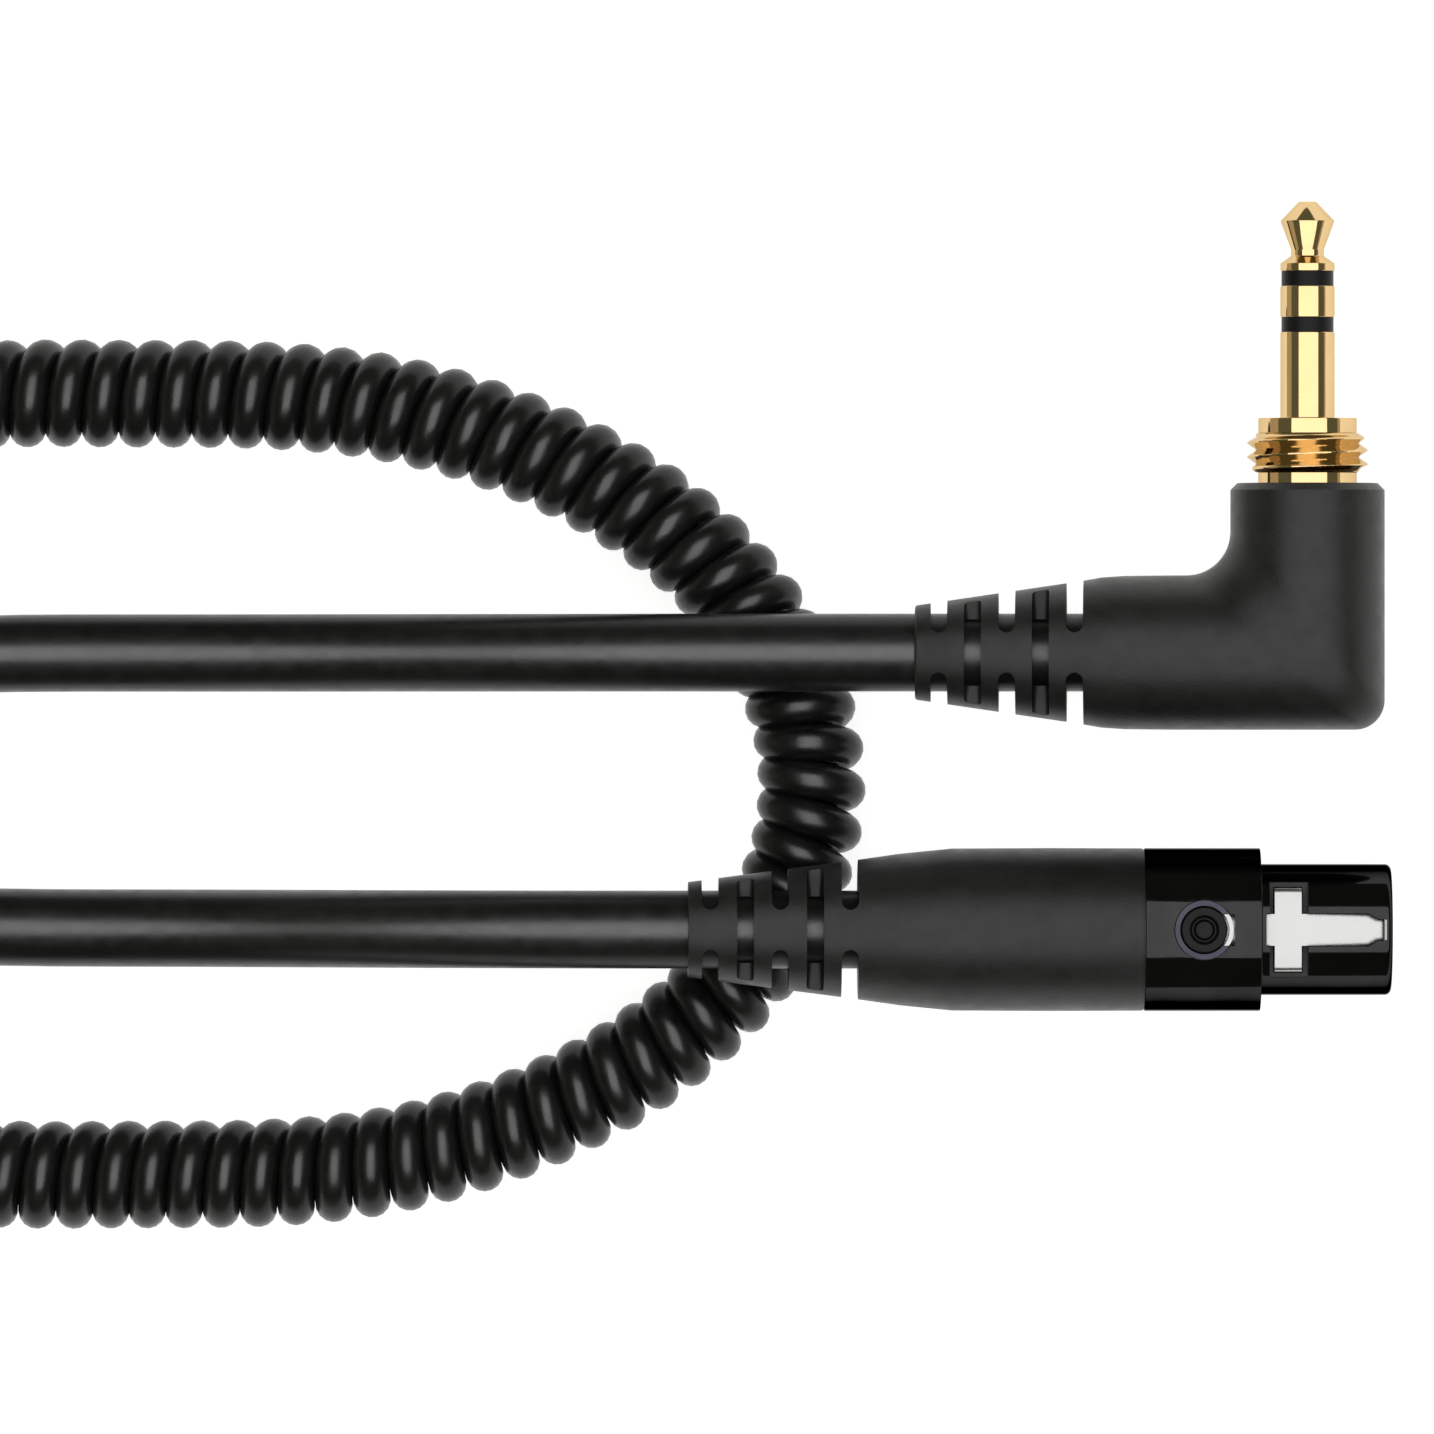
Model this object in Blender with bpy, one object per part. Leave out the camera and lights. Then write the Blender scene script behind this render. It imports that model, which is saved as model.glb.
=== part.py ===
"""Coiled headphone cable with two plugs, lying on a table.

A right-angled 3.5 mm stereo jack plug and a 3-pole mini-XLR cable socket are
joined by two straight leads and a curly cord. The cord lies on the table, both
plugs rest on it near their strain reliefs, and what is left over is folded into
a flat bundle held by a hook-and-loop tie.

Lengths below are in millimetres and angles in degrees. +Z is up, and the origin
is under the middle of the two plugs. Each plug is modelled in a frame of its
own: the jack plug's is at the elbow, with the jack along +Y and the cable
towards -X; the mini-XLR's is at the middle of its front face, with the cable
towards -X and the release button on +Z.
"""

import math

import bmesh
import bpy
import numpy as np
from mathutils import Vector

MM = 0.001
GAP = 0.3            # between pieces that touch on the real object
FINE_GAP = 0.1       # between the stacked pieces of the jack and the socket
SIDES = 24           # facets round a turned piece
SMALL_SIDES = 12     # facets round a wire or a contact

# places of the two plugs
JACK_ELBOW = (16.86, -2.95, 4.97)
JACK_TILT = 7.7
XLR_NOSE = (22.13, -20.70, 4.09)
XLR_TILT = 9.8

# cords
LEAD_RADIUS = 2.5
CURLY_RADIUS = 3.415           # outside of the curly cord's turns
BORE = LEAD_RADIUS + GAP       # hole that a lead runs in

# jack plug: distances along the jack are from the elbow's centre
BODY_RADIUS = 4.95
SHOULDER = 10.87
SHOULDER_CHAMFER = 0.45
OUTER_FILLET = 1.9
INNER_FILLET = 2.8
JACK_STRAIGHT_END = -8.6       # the moulding tapers from here to its relief
JACK_TAPER = (-11.7, 4.9)
JACK_CAVITY_RADIUS = 3.9
JACK_CAVITY_FILLET = 1.0
JACK_LIP = 1.27                # moulding left over the collar's flange
JACK_CABLE_STOP = -9.0
JACK_RELIEF_START = -14.35
JACK_RELIEF_END = -25.16
JACK_RELIEF_RADII = (4.6, 3.05)
JACK_FIRST_SLOT = -14.9
SLOT_PITCH = 2.18
SLOT_WIDTH = 1.09
WEB_HALF = 1.28                # web left between the two side slots
WINDOW_HALF = 2.1              # half the height of a front slot

COLLAR_RADIUS = 3.175
COLLAR_LENGTH = 4.17
COLLAR_EDGE = 0.15
FLANGE_RADIUS = 3.6            # the collar's hidden flange, behind the shoulder
FLANGE_SPAN = (-2.6, -1.57)
THREAD_SPAN = (0.71, 3.14)
THREAD_CREST = 3.86
THREAD_PITCH = 0.92
JACK_RADIUS = 1.75
INSULATOR_RADIUS = 1.675
SLEEVE_END = 9.68              # each of these is from the shoulder
RING_START, RING_END = 10.64, 12.63
TIP_START, TIP_END = 13.59, 18.04
TIP_RIM_END = 14.04
TIP_NECK = (14.6, 15.1)
TIP_NECK_RADIUS = 1.15
TIP_WIDEST = 16.92
TIP_CROWN = (17.6, 1.12)
TIP_POINT_RADIUS = 0.465
ROD_BACK = 1.1                 # rear ends of the tip's rod and the ring's tube, from the elbow
TUBE_BACK = 2.5
ROD_RADIUS = 0.45
RING_TUBE = (0.6, 1.0)
SLEEVE_BORE = 1.2

# mini-XLR socket: distances are back from the front face
NOSE_RADIUS = 4.2
NOSE_BORE = 3.75
NOSE_LENGTH = 8.4
SHELL_RADIUS = 5.225
SHELL_BORE = 4.5
SHELL_LENGTH = 15.83
NOSE_EDGE = 0.4
SHELL_EDGE = 0.2
SHELL_STEP = 0.5               # wall between the nose's bore and the shell's
INSERT_FACE = 0.5
INSERT_END = 10.3
INSERT_RADIUS = 3.65
CHANNEL_FLOOR = 2.0
CONTACT_RADIUS = 0.8
CONTACT_CIRCLE = 1.9
CONTACT_SPAN = (0.9, 14.4)
PIN_BORE = 0.5                 # bore at the front for a pin, and at the rear for a wire
PIN_BORE_END = 6.9
WIRE_BORE_START = 12.6
CONTACT_ANGLES = (150.0, 30.0, 270.0)
SPIGOT_START = 14.7            # front end of the boot, inside the shell
SPIGOT_RADII = (3.6, 4.2)
XLR_CAVITY_SPAN = (17.0, 25.6)
XLR_CAVITY_RADIUS = 3.8
BOOT_STRAIGHT_END = 28.14
XLR_RELIEF_START = 34.1
XLR_RELIEF_END = 45.06
XLR_RELIEF_RADII = (4.485, 3.05)
XLR_FIRST_SLOT = 34.71
GRIP_SPAN = (19.0, 24.6)
GRIP_RADIUS = 3.4

LEAF_TOP = 3.6
LEAF_THICKNESS = 0.4
LEAF_HALF = 1.02
LEAF_SPAN = (0.4, 13.7)
LEAF_TAPER = 1.55
LEAF_TONGUE_HALF = 0.65
LEAF_PLAY = 0.13               # between the leaf and its window
BAR_SPAN = (5.83, 7.56)
BAR_HALF = 2.67
WINDOW_BAR_SPAN = (5.44, 7.88)
WINDOW_BAR_HALF = 3.05
PIVOT_BACK = 0.7               # where the leaf hooks under the front rim
PIVOT_HEIGHT = 3.4

BUTTON_BACK = 12.1
BUTTON_RADIUS = 1.48
BUTTON_HOLE = 1.93
BUTTON_TOP = 5.02
BUTTON_FOOT = 3.3
BUTTON_EDGE = 0.2
BUTTON_EARS = (0.6, 2.2)
EARS_TOP = 3.75                # kept under the nose's inner wall
GROOVE_DEPTH = 0.25
GROOVE_RADII = (0.77, 0.55)

# curly cord and bundle: y offsets are from the bundle's own centre line
BUNDLE_Y = -11.41
LOOP_CENTRE_X = -53.6
LOOP_HALF_LENGTH = 38.07
LOOP_HALF_WIDTH = 25.2
EAR_CENTRE = (-150.0, 14.0)
EAR_RADIUS = 10.0
FLOOR_Z = 3.45                 # axis of the curly cord where it lies flat
SLEEVE_FACES = (-145.0, -130.0)
SLEEVE_OFFSET = 4.0
SLEEVE_HEIGHT = 3.65
SLEEVE_DEPTH = 6.0             # how far a lead runs into its sleeve
SLEEVE_RADII = (3.0, 3.6, 3.1) # at the curly end, in the middle and at the lead's end
SLEEVE_TAPERS = (1.0, 3.0)

# from the ear, through the tie and out to the straight strand:
# (x, offset from the bundle's centre line, height)
CURLY_STRAND = [
    (-141.0, 20.9, 3.45),
    (-131.7, 14.2, 3.80),
    (-124.2, 9.9, 4.40),
    (-119.0, 9.07, 4.55),
    (-113.5, 9.07, 4.55),
    (-108.0, 9.10, 4.50),
    (-100.4, 10.6, 3.90),
    (-92.8, 14.6, 3.50),
    (-85.2, 19.6, 3.45),
    (-77.6, 23.7, 3.45),
    (-70.0, 25.1, 3.45),
    (-61.0, 25.2, 3.45),
]

# the leads, from inside the plug to inside the sleeve: (x, y, z)
JACK_LEAD_ROUTE = [
    (7.74, -2.95, 6.20),
    (0.0, -2.95, 7.25),
    (-8.26, -2.95, 8.37),
    (-13.0, -2.95, 9.01),
    (-17.74, -2.95, 9.65),
    (-22.5, -2.95, 9.85),
    (-28.0, -2.95, 9.30),
    (-34.0, -2.95, 7.90),
    (-41.0, -2.95, 5.70),
    (-48.0, -2.95, 3.80),
    (-56.0, -2.95, 2.70),
    (-64.0, -2.95, 2.55),
    (-71.0, -3.05, 2.55),
    (-80.0, -3.80, 2.55),
    (-90.0, -5.80, 2.55),
    (-99.0, -7.90, 2.80),
    (-107.0, -8.62, 3.50),
    (-113.5, -8.66, 3.65),
    (-120.0, -8.50, 3.65),
    (-126.0, -7.75, 3.65),
    (-131.0, -7.43, 3.65),
    (-135.7, -7.41, 3.65),
]
XLR_LEAD_ROUTE = [
    (4.10, -20.70, 7.21),
    (-9.0, -20.70, 9.47),
    (-22.27, -20.70, 11.76),
    (-26.5, -20.70, 12.33),
    (-31.0, -20.70, 12.30),
    (-36.5, -20.70, 11.30),
    (-43.0, -20.70, 9.00),
    (-50.0, -20.70, 6.10),
    (-57.0, -20.70, 3.80),
    (-64.0, -20.70, 2.70),
    (-71.0, -20.58, 2.55),
    (-80.0, -19.70, 2.55),
    (-90.0, -17.40, 2.55),
    (-99.0, -15.05, 2.80),
    (-107.0, -14.20, 3.50),
    (-113.5, -14.16, 3.65),
    (-120.0, -14.32, 3.65),
    (-126.0, -15.07, 3.65),
    (-131.0, -15.39, 3.65),
    (-135.7, -15.41, 3.65),
]
LEAD_STEP = 12.0
CURLY_STEP = 9.0

TIE_SPAN = (-118.0, -109.0)
TIE_THICKNESS = 0.8
TIE_INNER_HALF = 12.85
TIE_INNER_TOP = 8.3
TIE_CORNER = 3.4


def clear_scene():
    for obj in list(bpy.data.objects):
        bpy.data.objects.remove(obj, do_unlink=True)


def material(name, colour, roughness, metallic=0.0):
    made = bpy.data.materials.new(name)
    made.use_nodes = True
    shader = made.node_tree.nodes["Principled BSDF"]
    shader.inputs["Base Color"].default_value = (*colour, 1.0)
    shader.inputs["Roughness"].default_value = roughness
    shader.inputs["Metallic"].default_value = metallic
    return made


def empty(name, place, tilt=0.0, parent=None):
    """A frame for a plug or a hinge, turned by tilt degrees about +Y."""
    made = bpy.data.objects.new(name, None)
    made.location = Vector(place) * MM
    made.rotation_euler.y = math.radians(tilt)
    made.parent = parent
    bpy.context.collection.objects.link(made)
    return made


def add(name, points, faces, finish, parent=None, place=(0, 0, 0)):
    """A closed mesh from points in millimetres."""
    mesh = bpy.data.meshes.new(name)
    build = bmesh.new()
    verts = [build.verts.new(Vector(p) * MM) for p in points]
    for face in faces:
        build.faces.new([verts[i] for i in face])
    bmesh.ops.recalc_face_normals(build, faces=build.faces)
    build.to_mesh(mesh)
    build.free()
    mesh.shade_smooth()
    mesh.set_sharp_from_angle(angle=math.radians(35))
    mesh.materials.append(finish)
    obj = bpy.data.objects.new(name, mesh)
    obj.location = Vector(place) * MM
    obj.parent = parent
    bpy.context.collection.objects.link(obj)
    return obj


def skin(rings, closed=False):
    """Points and faces of a surface through rings; a ring of one point is an end on the axis."""
    points, starts = [], []
    for ring in rings:
        starts.append(len(points))
        points.extend(ring)
    faces = []
    count = len(rings)
    for i in range(count if closed else count - 1):
        j = (i + 1) % count
        a, b, na, nb = starts[i], starts[j], len(rings[i]), len(rings[j])
        sides = max(na, nb)
        for k in range(sides):
            m = (k + 1) % sides
            if na == 1:
                faces.append((a, b + k, b + m))
            elif nb == 1:
                faces.append((a + k, b, a + m))
            else:
                faces.append((a + k, b + k, b + m, a + m))
    if not closed:
        for first, ring in ((starts[0], rings[0]), (starts[-1], rings[-1])):
            if len(ring) > 1:
                faces.append(tuple(first + k for k in range(len(ring))))
    return points, faces


def circle(radius, sides):
    return [
        (radius * math.cos(2 * math.pi * k / sides), radius * math.sin(2 * math.pi * k / sides))
        for k in range(sides)
    ]


def turned(profile, axis, sides=SIDES, closed=False, centre=(0.0, 0.0)):
    """A profile of (distance along the axis, radius) turned about X, Y or Z."""
    rings = []
    for along, radius in profile:
        section = circle(radius, sides) if radius > 0 else [(0.0, 0.0)]
        ring = []
        for u, v in section:
            u, v = u + centre[0], v + centre[1]
            ring.append({"x": (along, u, v), "y": (u, along, v), "z": (u, v, along)}[axis])
        rings.append(ring)
    return skin(rings, closed)


def block(low, high):
    """A box between two corners."""
    corners = [(low[0], low[1]), (high[0], low[1]), (high[0], high[1]), (low[0], high[1])]
    return plate(corners, "z", low[2], high[2])


def plate(outline, axis, low, high):
    """An outline extruded along Y or Z; the outline is (x, z) or (x, y)."""
    if axis == "y":
        return skin([[(x, low, z) for x, z in outline], [(x, high, z) for x, z in outline]])
    return skin([[(x, y, low) for x, y in outline], [(x, y, high) for x, y in outline]])


def joined(shapes):
    points, faces = [], []
    for shape_points, shape_faces in shapes:
        first = len(points)
        points.extend(shape_points)
        faces.extend(tuple(first + i for i in face) for face in shape_faces)
    return points, faces


def boolean(obj, shapes, operation, finish, label):
    """Cut from obj, or add to it, a set of separate closed shapes."""
    tool = add(f"{obj.name}_{label}", *joined(shapes), finish, obj.parent)
    tool.location = obj.location
    tool.hide_render = True
    tool.display_type = "WIRE"
    modifier = obj.modifiers.new(label, "BOOLEAN")
    modifier.operation = operation
    modifier.solver = "EXACT"
    modifier.object = tool


def spline_points(route, step):
    """Evenly spaced points on the natural cubic spline through a route."""
    knots = np.array(route, dtype=float)
    t = np.concatenate(([0.0], np.cumsum(np.linalg.norm(np.diff(knots, axis=0), axis=1))))
    h = np.diff(t)
    count = len(t)
    system = np.eye(count)
    slopes = np.zeros_like(knots)
    for i in range(1, count - 1):
        system[i, i - 1:i + 2] = h[i - 1], 2 * (h[i - 1] + h[i]), h[i]
        slopes[i] = 6 * ((knots[i + 1] - knots[i]) / h[i] - (knots[i] - knots[i - 1]) / h[i - 1])
    bend = np.linalg.solve(system, slopes)
    dense = []
    for i in range(count - 1):
        for s in np.linspace(0.0, h[i], 24, endpoint=False):
            left, right = h[i] - s, s
            dense.append(
                (bend[i] * left ** 3 + bend[i + 1] * right ** 3) / (6 * h[i])
                + (knots[i] / h[i] - bend[i] * h[i] / 6) * left
                + (knots[i + 1] / h[i] - bend[i + 1] * h[i] / 6) * right
            )
    dense.append(knots[-1])
    dense = np.array(dense)
    run = np.concatenate(([0.0], np.cumsum(np.linalg.norm(np.diff(dense, axis=0), axis=1))))
    pieces = max(2, round(run[-1] / step))
    wanted = np.linspace(0.0, run[-1], pieces + 1)
    return np.stack([np.interp(wanted, run, dense[:, k]) for k in range(3)], axis=1)


def tube(name, points, radius, resolution, finish, parent=None):
    """A round cord or wire along a list of points, with filled ends."""
    data = bpy.data.curves.new(name, "CURVE")
    data.dimensions = "3D"
    data.bevel_depth = radius * MM
    data.bevel_resolution = resolution
    data.use_fill_caps = True
    spline = data.splines.new("POLY")
    spline.points.add(len(points) - 1)
    for knot, point in zip(spline.points, points):
        knot.co = (*(Vector(point) * MM), 1.0)
    data.materials.append(finish)
    obj = bpy.data.objects.new(name, data)
    obj.parent = parent
    bpy.context.collection.objects.link(obj)
    return obj


def relief_slots(centres, window, reach):
    """Cutters that leave a chain of half rings: side slots and front slots by turns."""
    cutters = []
    for number, x in enumerate(centres):
        low, high = x - SLOT_WIDTH / 2, x + SLOT_WIDTH / 2
        for side in (-1, 1):
            if number % 2 == 0:
                span = sorted((side * WEB_HALF, side * reach))
                cutters.append(block((low, span[0], -reach), (high, span[1], reach)))
            else:
                span = sorted((side * 0.5, side * reach))
                cutters.append(block((low, -window, span[0]), (high, window, span[1])))
    return cutters


def elbow_rings():
    """Rings of the jack plug's moulding: along its outside, then back along its bore."""

    def across(x, radius):
        return [(x, -radius * c, radius * s) for c, s in circle(1.0, SIDES)]

    def upright(y, radius):
        return [(radius * c, y, radius * s) for c, s in circle(1.0, SIDES)]

    def corner(radius, outer, inner, turn):
        ring = []
        for c, s in circle(1.0, SIDES):
            fillet = inner + (outer - inner) * (1 + c) / 2
            x = radius * c - fillet + fillet * math.sin(turn)
            y = -radius * c + fillet - fillet * math.cos(turn)
            ring.append((x, y, radius * s))
        return ring

    turns = [math.radians(a) for a in (0, 30, 60, 90)]
    mouth = COLLAR_RADIUS + GAP
    cavity_top = SHOULDER - JACK_LIP
    rings = [
        across(JACK_RELIEF_END, JACK_RELIEF_RADII[1]),
        across(JACK_RELIEF_START, JACK_RELIEF_RADII[0]),
        across(*JACK_TAPER),
        across(JACK_STRAIGHT_END, BODY_RADIUS),
    ]
    rings += [corner(BODY_RADIUS, OUTER_FILLET, INNER_FILLET, a) for a in turns]
    rings += [
        upright(SHOULDER - SHOULDER_CHAMFER, BODY_RADIUS),
        upright(SHOULDER, BODY_RADIUS - SHOULDER_CHAMFER),
        upright(SHOULDER, mouth),
        upright(cavity_top, mouth),
        upright(cavity_top, JACK_CAVITY_RADIUS),
    ]
    fillet = JACK_CAVITY_FILLET
    rings += [corner(JACK_CAVITY_RADIUS, fillet, fillet, a) for a in reversed(turns)]
    rings += [
        across(JACK_CABLE_STOP, JACK_CAVITY_RADIUS),
        across(JACK_CABLE_STOP, BORE),
        across(JACK_RELIEF_END, BORE),
    ]
    return rings


def threaded_rings():
    """Rings of the sleeve contact's collar, whose radius climbs a helix in the threaded span."""
    rings = []
    stations = 12
    low, high = THREAD_SPAN
    for i in range(stations + 1):
        along = low + (high - low) * i / stations
        fade = min(1.0, 4 * min(along - low, high - along) / (high - low))
        ring = []
        for k in range(SIDES):
            phase = (along / THREAD_PITCH - k / SIDES) % 1.0
            ridge = 1 - abs(2 * phase - 1)
            radius = COLLAR_RADIUS + (THREAD_CREST - COLLAR_RADIUS) * ridge * fade
            angle = 2 * math.pi * k / SIDES
            ring.append((radius * math.cos(angle), SHOULDER + along, radius * math.sin(angle)))
        rings.append(ring)
    return rings


def plain_ring(along, radius):
    return [(u, SHOULDER + along, v) for u, v in circle(radius, SIDES)]


def jack_sleeve_rings():
    back, front = FLANGE_SPAN
    rings = [
        plain_ring(back, SLEEVE_BORE),
        plain_ring(back, FLANGE_RADIUS),
        plain_ring(front, FLANGE_RADIUS),
        plain_ring(front, COLLAR_RADIUS),
    ]
    rings += threaded_rings()
    rings += [
        plain_ring(COLLAR_LENGTH - COLLAR_EDGE, COLLAR_RADIUS),
        plain_ring(COLLAR_LENGTH, COLLAR_RADIUS - COLLAR_EDGE),
        plain_ring(COLLAR_LENGTH, JACK_RADIUS),
        plain_ring(SLEEVE_END, JACK_RADIUS),
        plain_ring(SLEEVE_END, SLEEVE_BORE),
    ]
    return rings


def lug_outline(hole, outer, tongue, half):
    """A C-shaped solder lug that grips a rod or tube, with a tongue towards the cable."""
    def arc(radius, start, end, steps):
        angles = [math.radians(start + (end - start) * i / steps) for i in range(steps + 1)]
        return [(radius * math.cos(a), radius * math.sin(a)) for a in angles]

    return (
        arc(outer, 35, 155, 5)
        + [(-tongue, half), (-tongue, -half)]
        + arc(outer, 205, 325, 5)
        + arc(hole, 325, 35, 9)
    )


def make_jack(finishes):
    frame = empty("jack_plug_frame", JACK_ELBOW, JACK_TILT)
    boot = add("jack_boot", *skin(elbow_rings(), closed=True), finishes["moulding"], frame)
    centres = [JACK_FIRST_SLOT - SLOT_PITCH * i for i in range(5)]
    boolean(boot, relief_slots(centres, WINDOW_HALF, 6.0), "DIFFERENCE", finishes["moulding"], "slots")

    gold = finishes["gold"]
    add("jack_sleeve_contact", *skin(jack_sleeve_rings(), closed=True), gold, frame)
    ring_head = [
        (SHOULDER + RING_START, RING_TUBE[0]),
        (SHOULDER + RING_END, RING_TUBE[0]),
        (SHOULDER + RING_END, JACK_RADIUS),
        (SHOULDER + RING_START, JACK_RADIUS),
        (SHOULDER + RING_START, RING_TUBE[1]),
        (TUBE_BACK, RING_TUBE[1]),
        (TUBE_BACK, RING_TUBE[0]),
    ]
    add("jack_ring_contact", *turned(ring_head, "y", closed=True), gold, frame)
    tip = [
        (ROD_BACK, 0.0),
        (ROD_BACK, ROD_RADIUS),
        (SHOULDER + TIP_START, ROD_RADIUS),
        (SHOULDER + TIP_START, JACK_RADIUS),
        (SHOULDER + TIP_RIM_END, JACK_RADIUS),
        (SHOULDER + TIP_NECK[0], TIP_NECK_RADIUS),
        (SHOULDER + TIP_NECK[1], TIP_NECK_RADIUS),
        (SHOULDER + TIP_WIDEST, JACK_RADIUS),
        (SHOULDER + TIP_CROWN[0], TIP_CROWN[1]),
        (SHOULDER + TIP_END, TIP_POINT_RADIUS),
        (SHOULDER + TIP_END, 0.0),
    ]
    add("jack_tip_contact", *turned(tip, "y"), gold, frame)

    insulators = {
        "jack_ring_insulator": (SLEEVE_END, RING_START, RING_TUBE[1]),
        "jack_tip_insulator": (RING_END, TIP_START, ROD_RADIUS),
    }
    for name, (start, end, inside) in insulators.items():
        low, high = SHOULDER + start + FINE_GAP, SHOULDER + end - FINE_GAP
        bore = inside + FINE_GAP
        outline = [(low, bore), (low, INSULATOR_RADIUS), (high, INSULATOR_RADIUS), (high, bore)]
        add(name, *turned(outline, "y", closed=True), finishes["insulator"], frame)

    mould_bore = RING_TUBE[1] + FINE_GAP
    mould = [(3.7, mould_bore), (3.7, 2.9), (SHOULDER - 2.9, 2.9), (SHOULDER - 2.9, mould_bore)]
    add("jack_inner_mould", *turned(mould, "y", closed=True), finishes["insulator"], frame)

    brass = finishes["brass"]
    ring_lug = lug_outline(mould_bore, 1.8, 2.7, 0.6)
    add("jack_ring_lug", *plate(ring_lug, "y", 2.9, 3.3), brass, frame)
    tip_lug = lug_outline(ROD_RADIUS + FINE_GAP, 1.2, 2.4, 0.5)
    add("jack_tip_lug", *plate(tip_lug, "y", 1.3, 1.7), brass, frame)
    add("jack_sleeve_lug", *block((3.15, 1.0, -0.8), (3.5, SHOULDER - 2.9, 0.8)), brass, frame)

    wires = {
        "jack_ring_wire": [(-8.8, 1.3, 0.0), (-6.6, 1.8, 0.0), (-4.6, 2.9, 0.0), (-3.3, 3.1, 0.0)],
        "jack_tip_wire": [(-8.8, -0.8, -1.1), (-6.2, -0.4, -0.9), (-4.3, 1.1, -0.2), (-3.1, 1.5, 0.0)],
        "jack_sleeve_wire": [
            (-8.8, -0.8, 1.1),
            (-5.0, -1.7, 1.4),
            (-0.5, -2.2, 1.2),
            (2.4, -1.2, 0.4),
            (3.3, 0.1, 0.0),
        ],
    }
    for name, route in wires.items():
        tube(name, spline_points(route, 1.6), 0.45, 2, finishes[name], frame)


def leaf_outline():
    """The latch leaf from above: a strip with a cross-bar, narrowed at its front end."""
    front, back = -LEAF_SPAN[0], -LEAF_SPAN[1]
    bar_front, bar_back = -BAR_SPAN[0], -BAR_SPAN[1]
    half = [
        (front, LEAF_TONGUE_HALF),
        (-LEAF_TAPER, LEAF_HALF),
        (bar_front, LEAF_HALF),
        (bar_front, BAR_HALF),
        (bar_back, BAR_HALF),
        (bar_back, LEAF_HALF),
        (back, LEAF_HALF),
    ]
    return half + [(x, -y) for x, y in reversed(half)]


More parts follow.
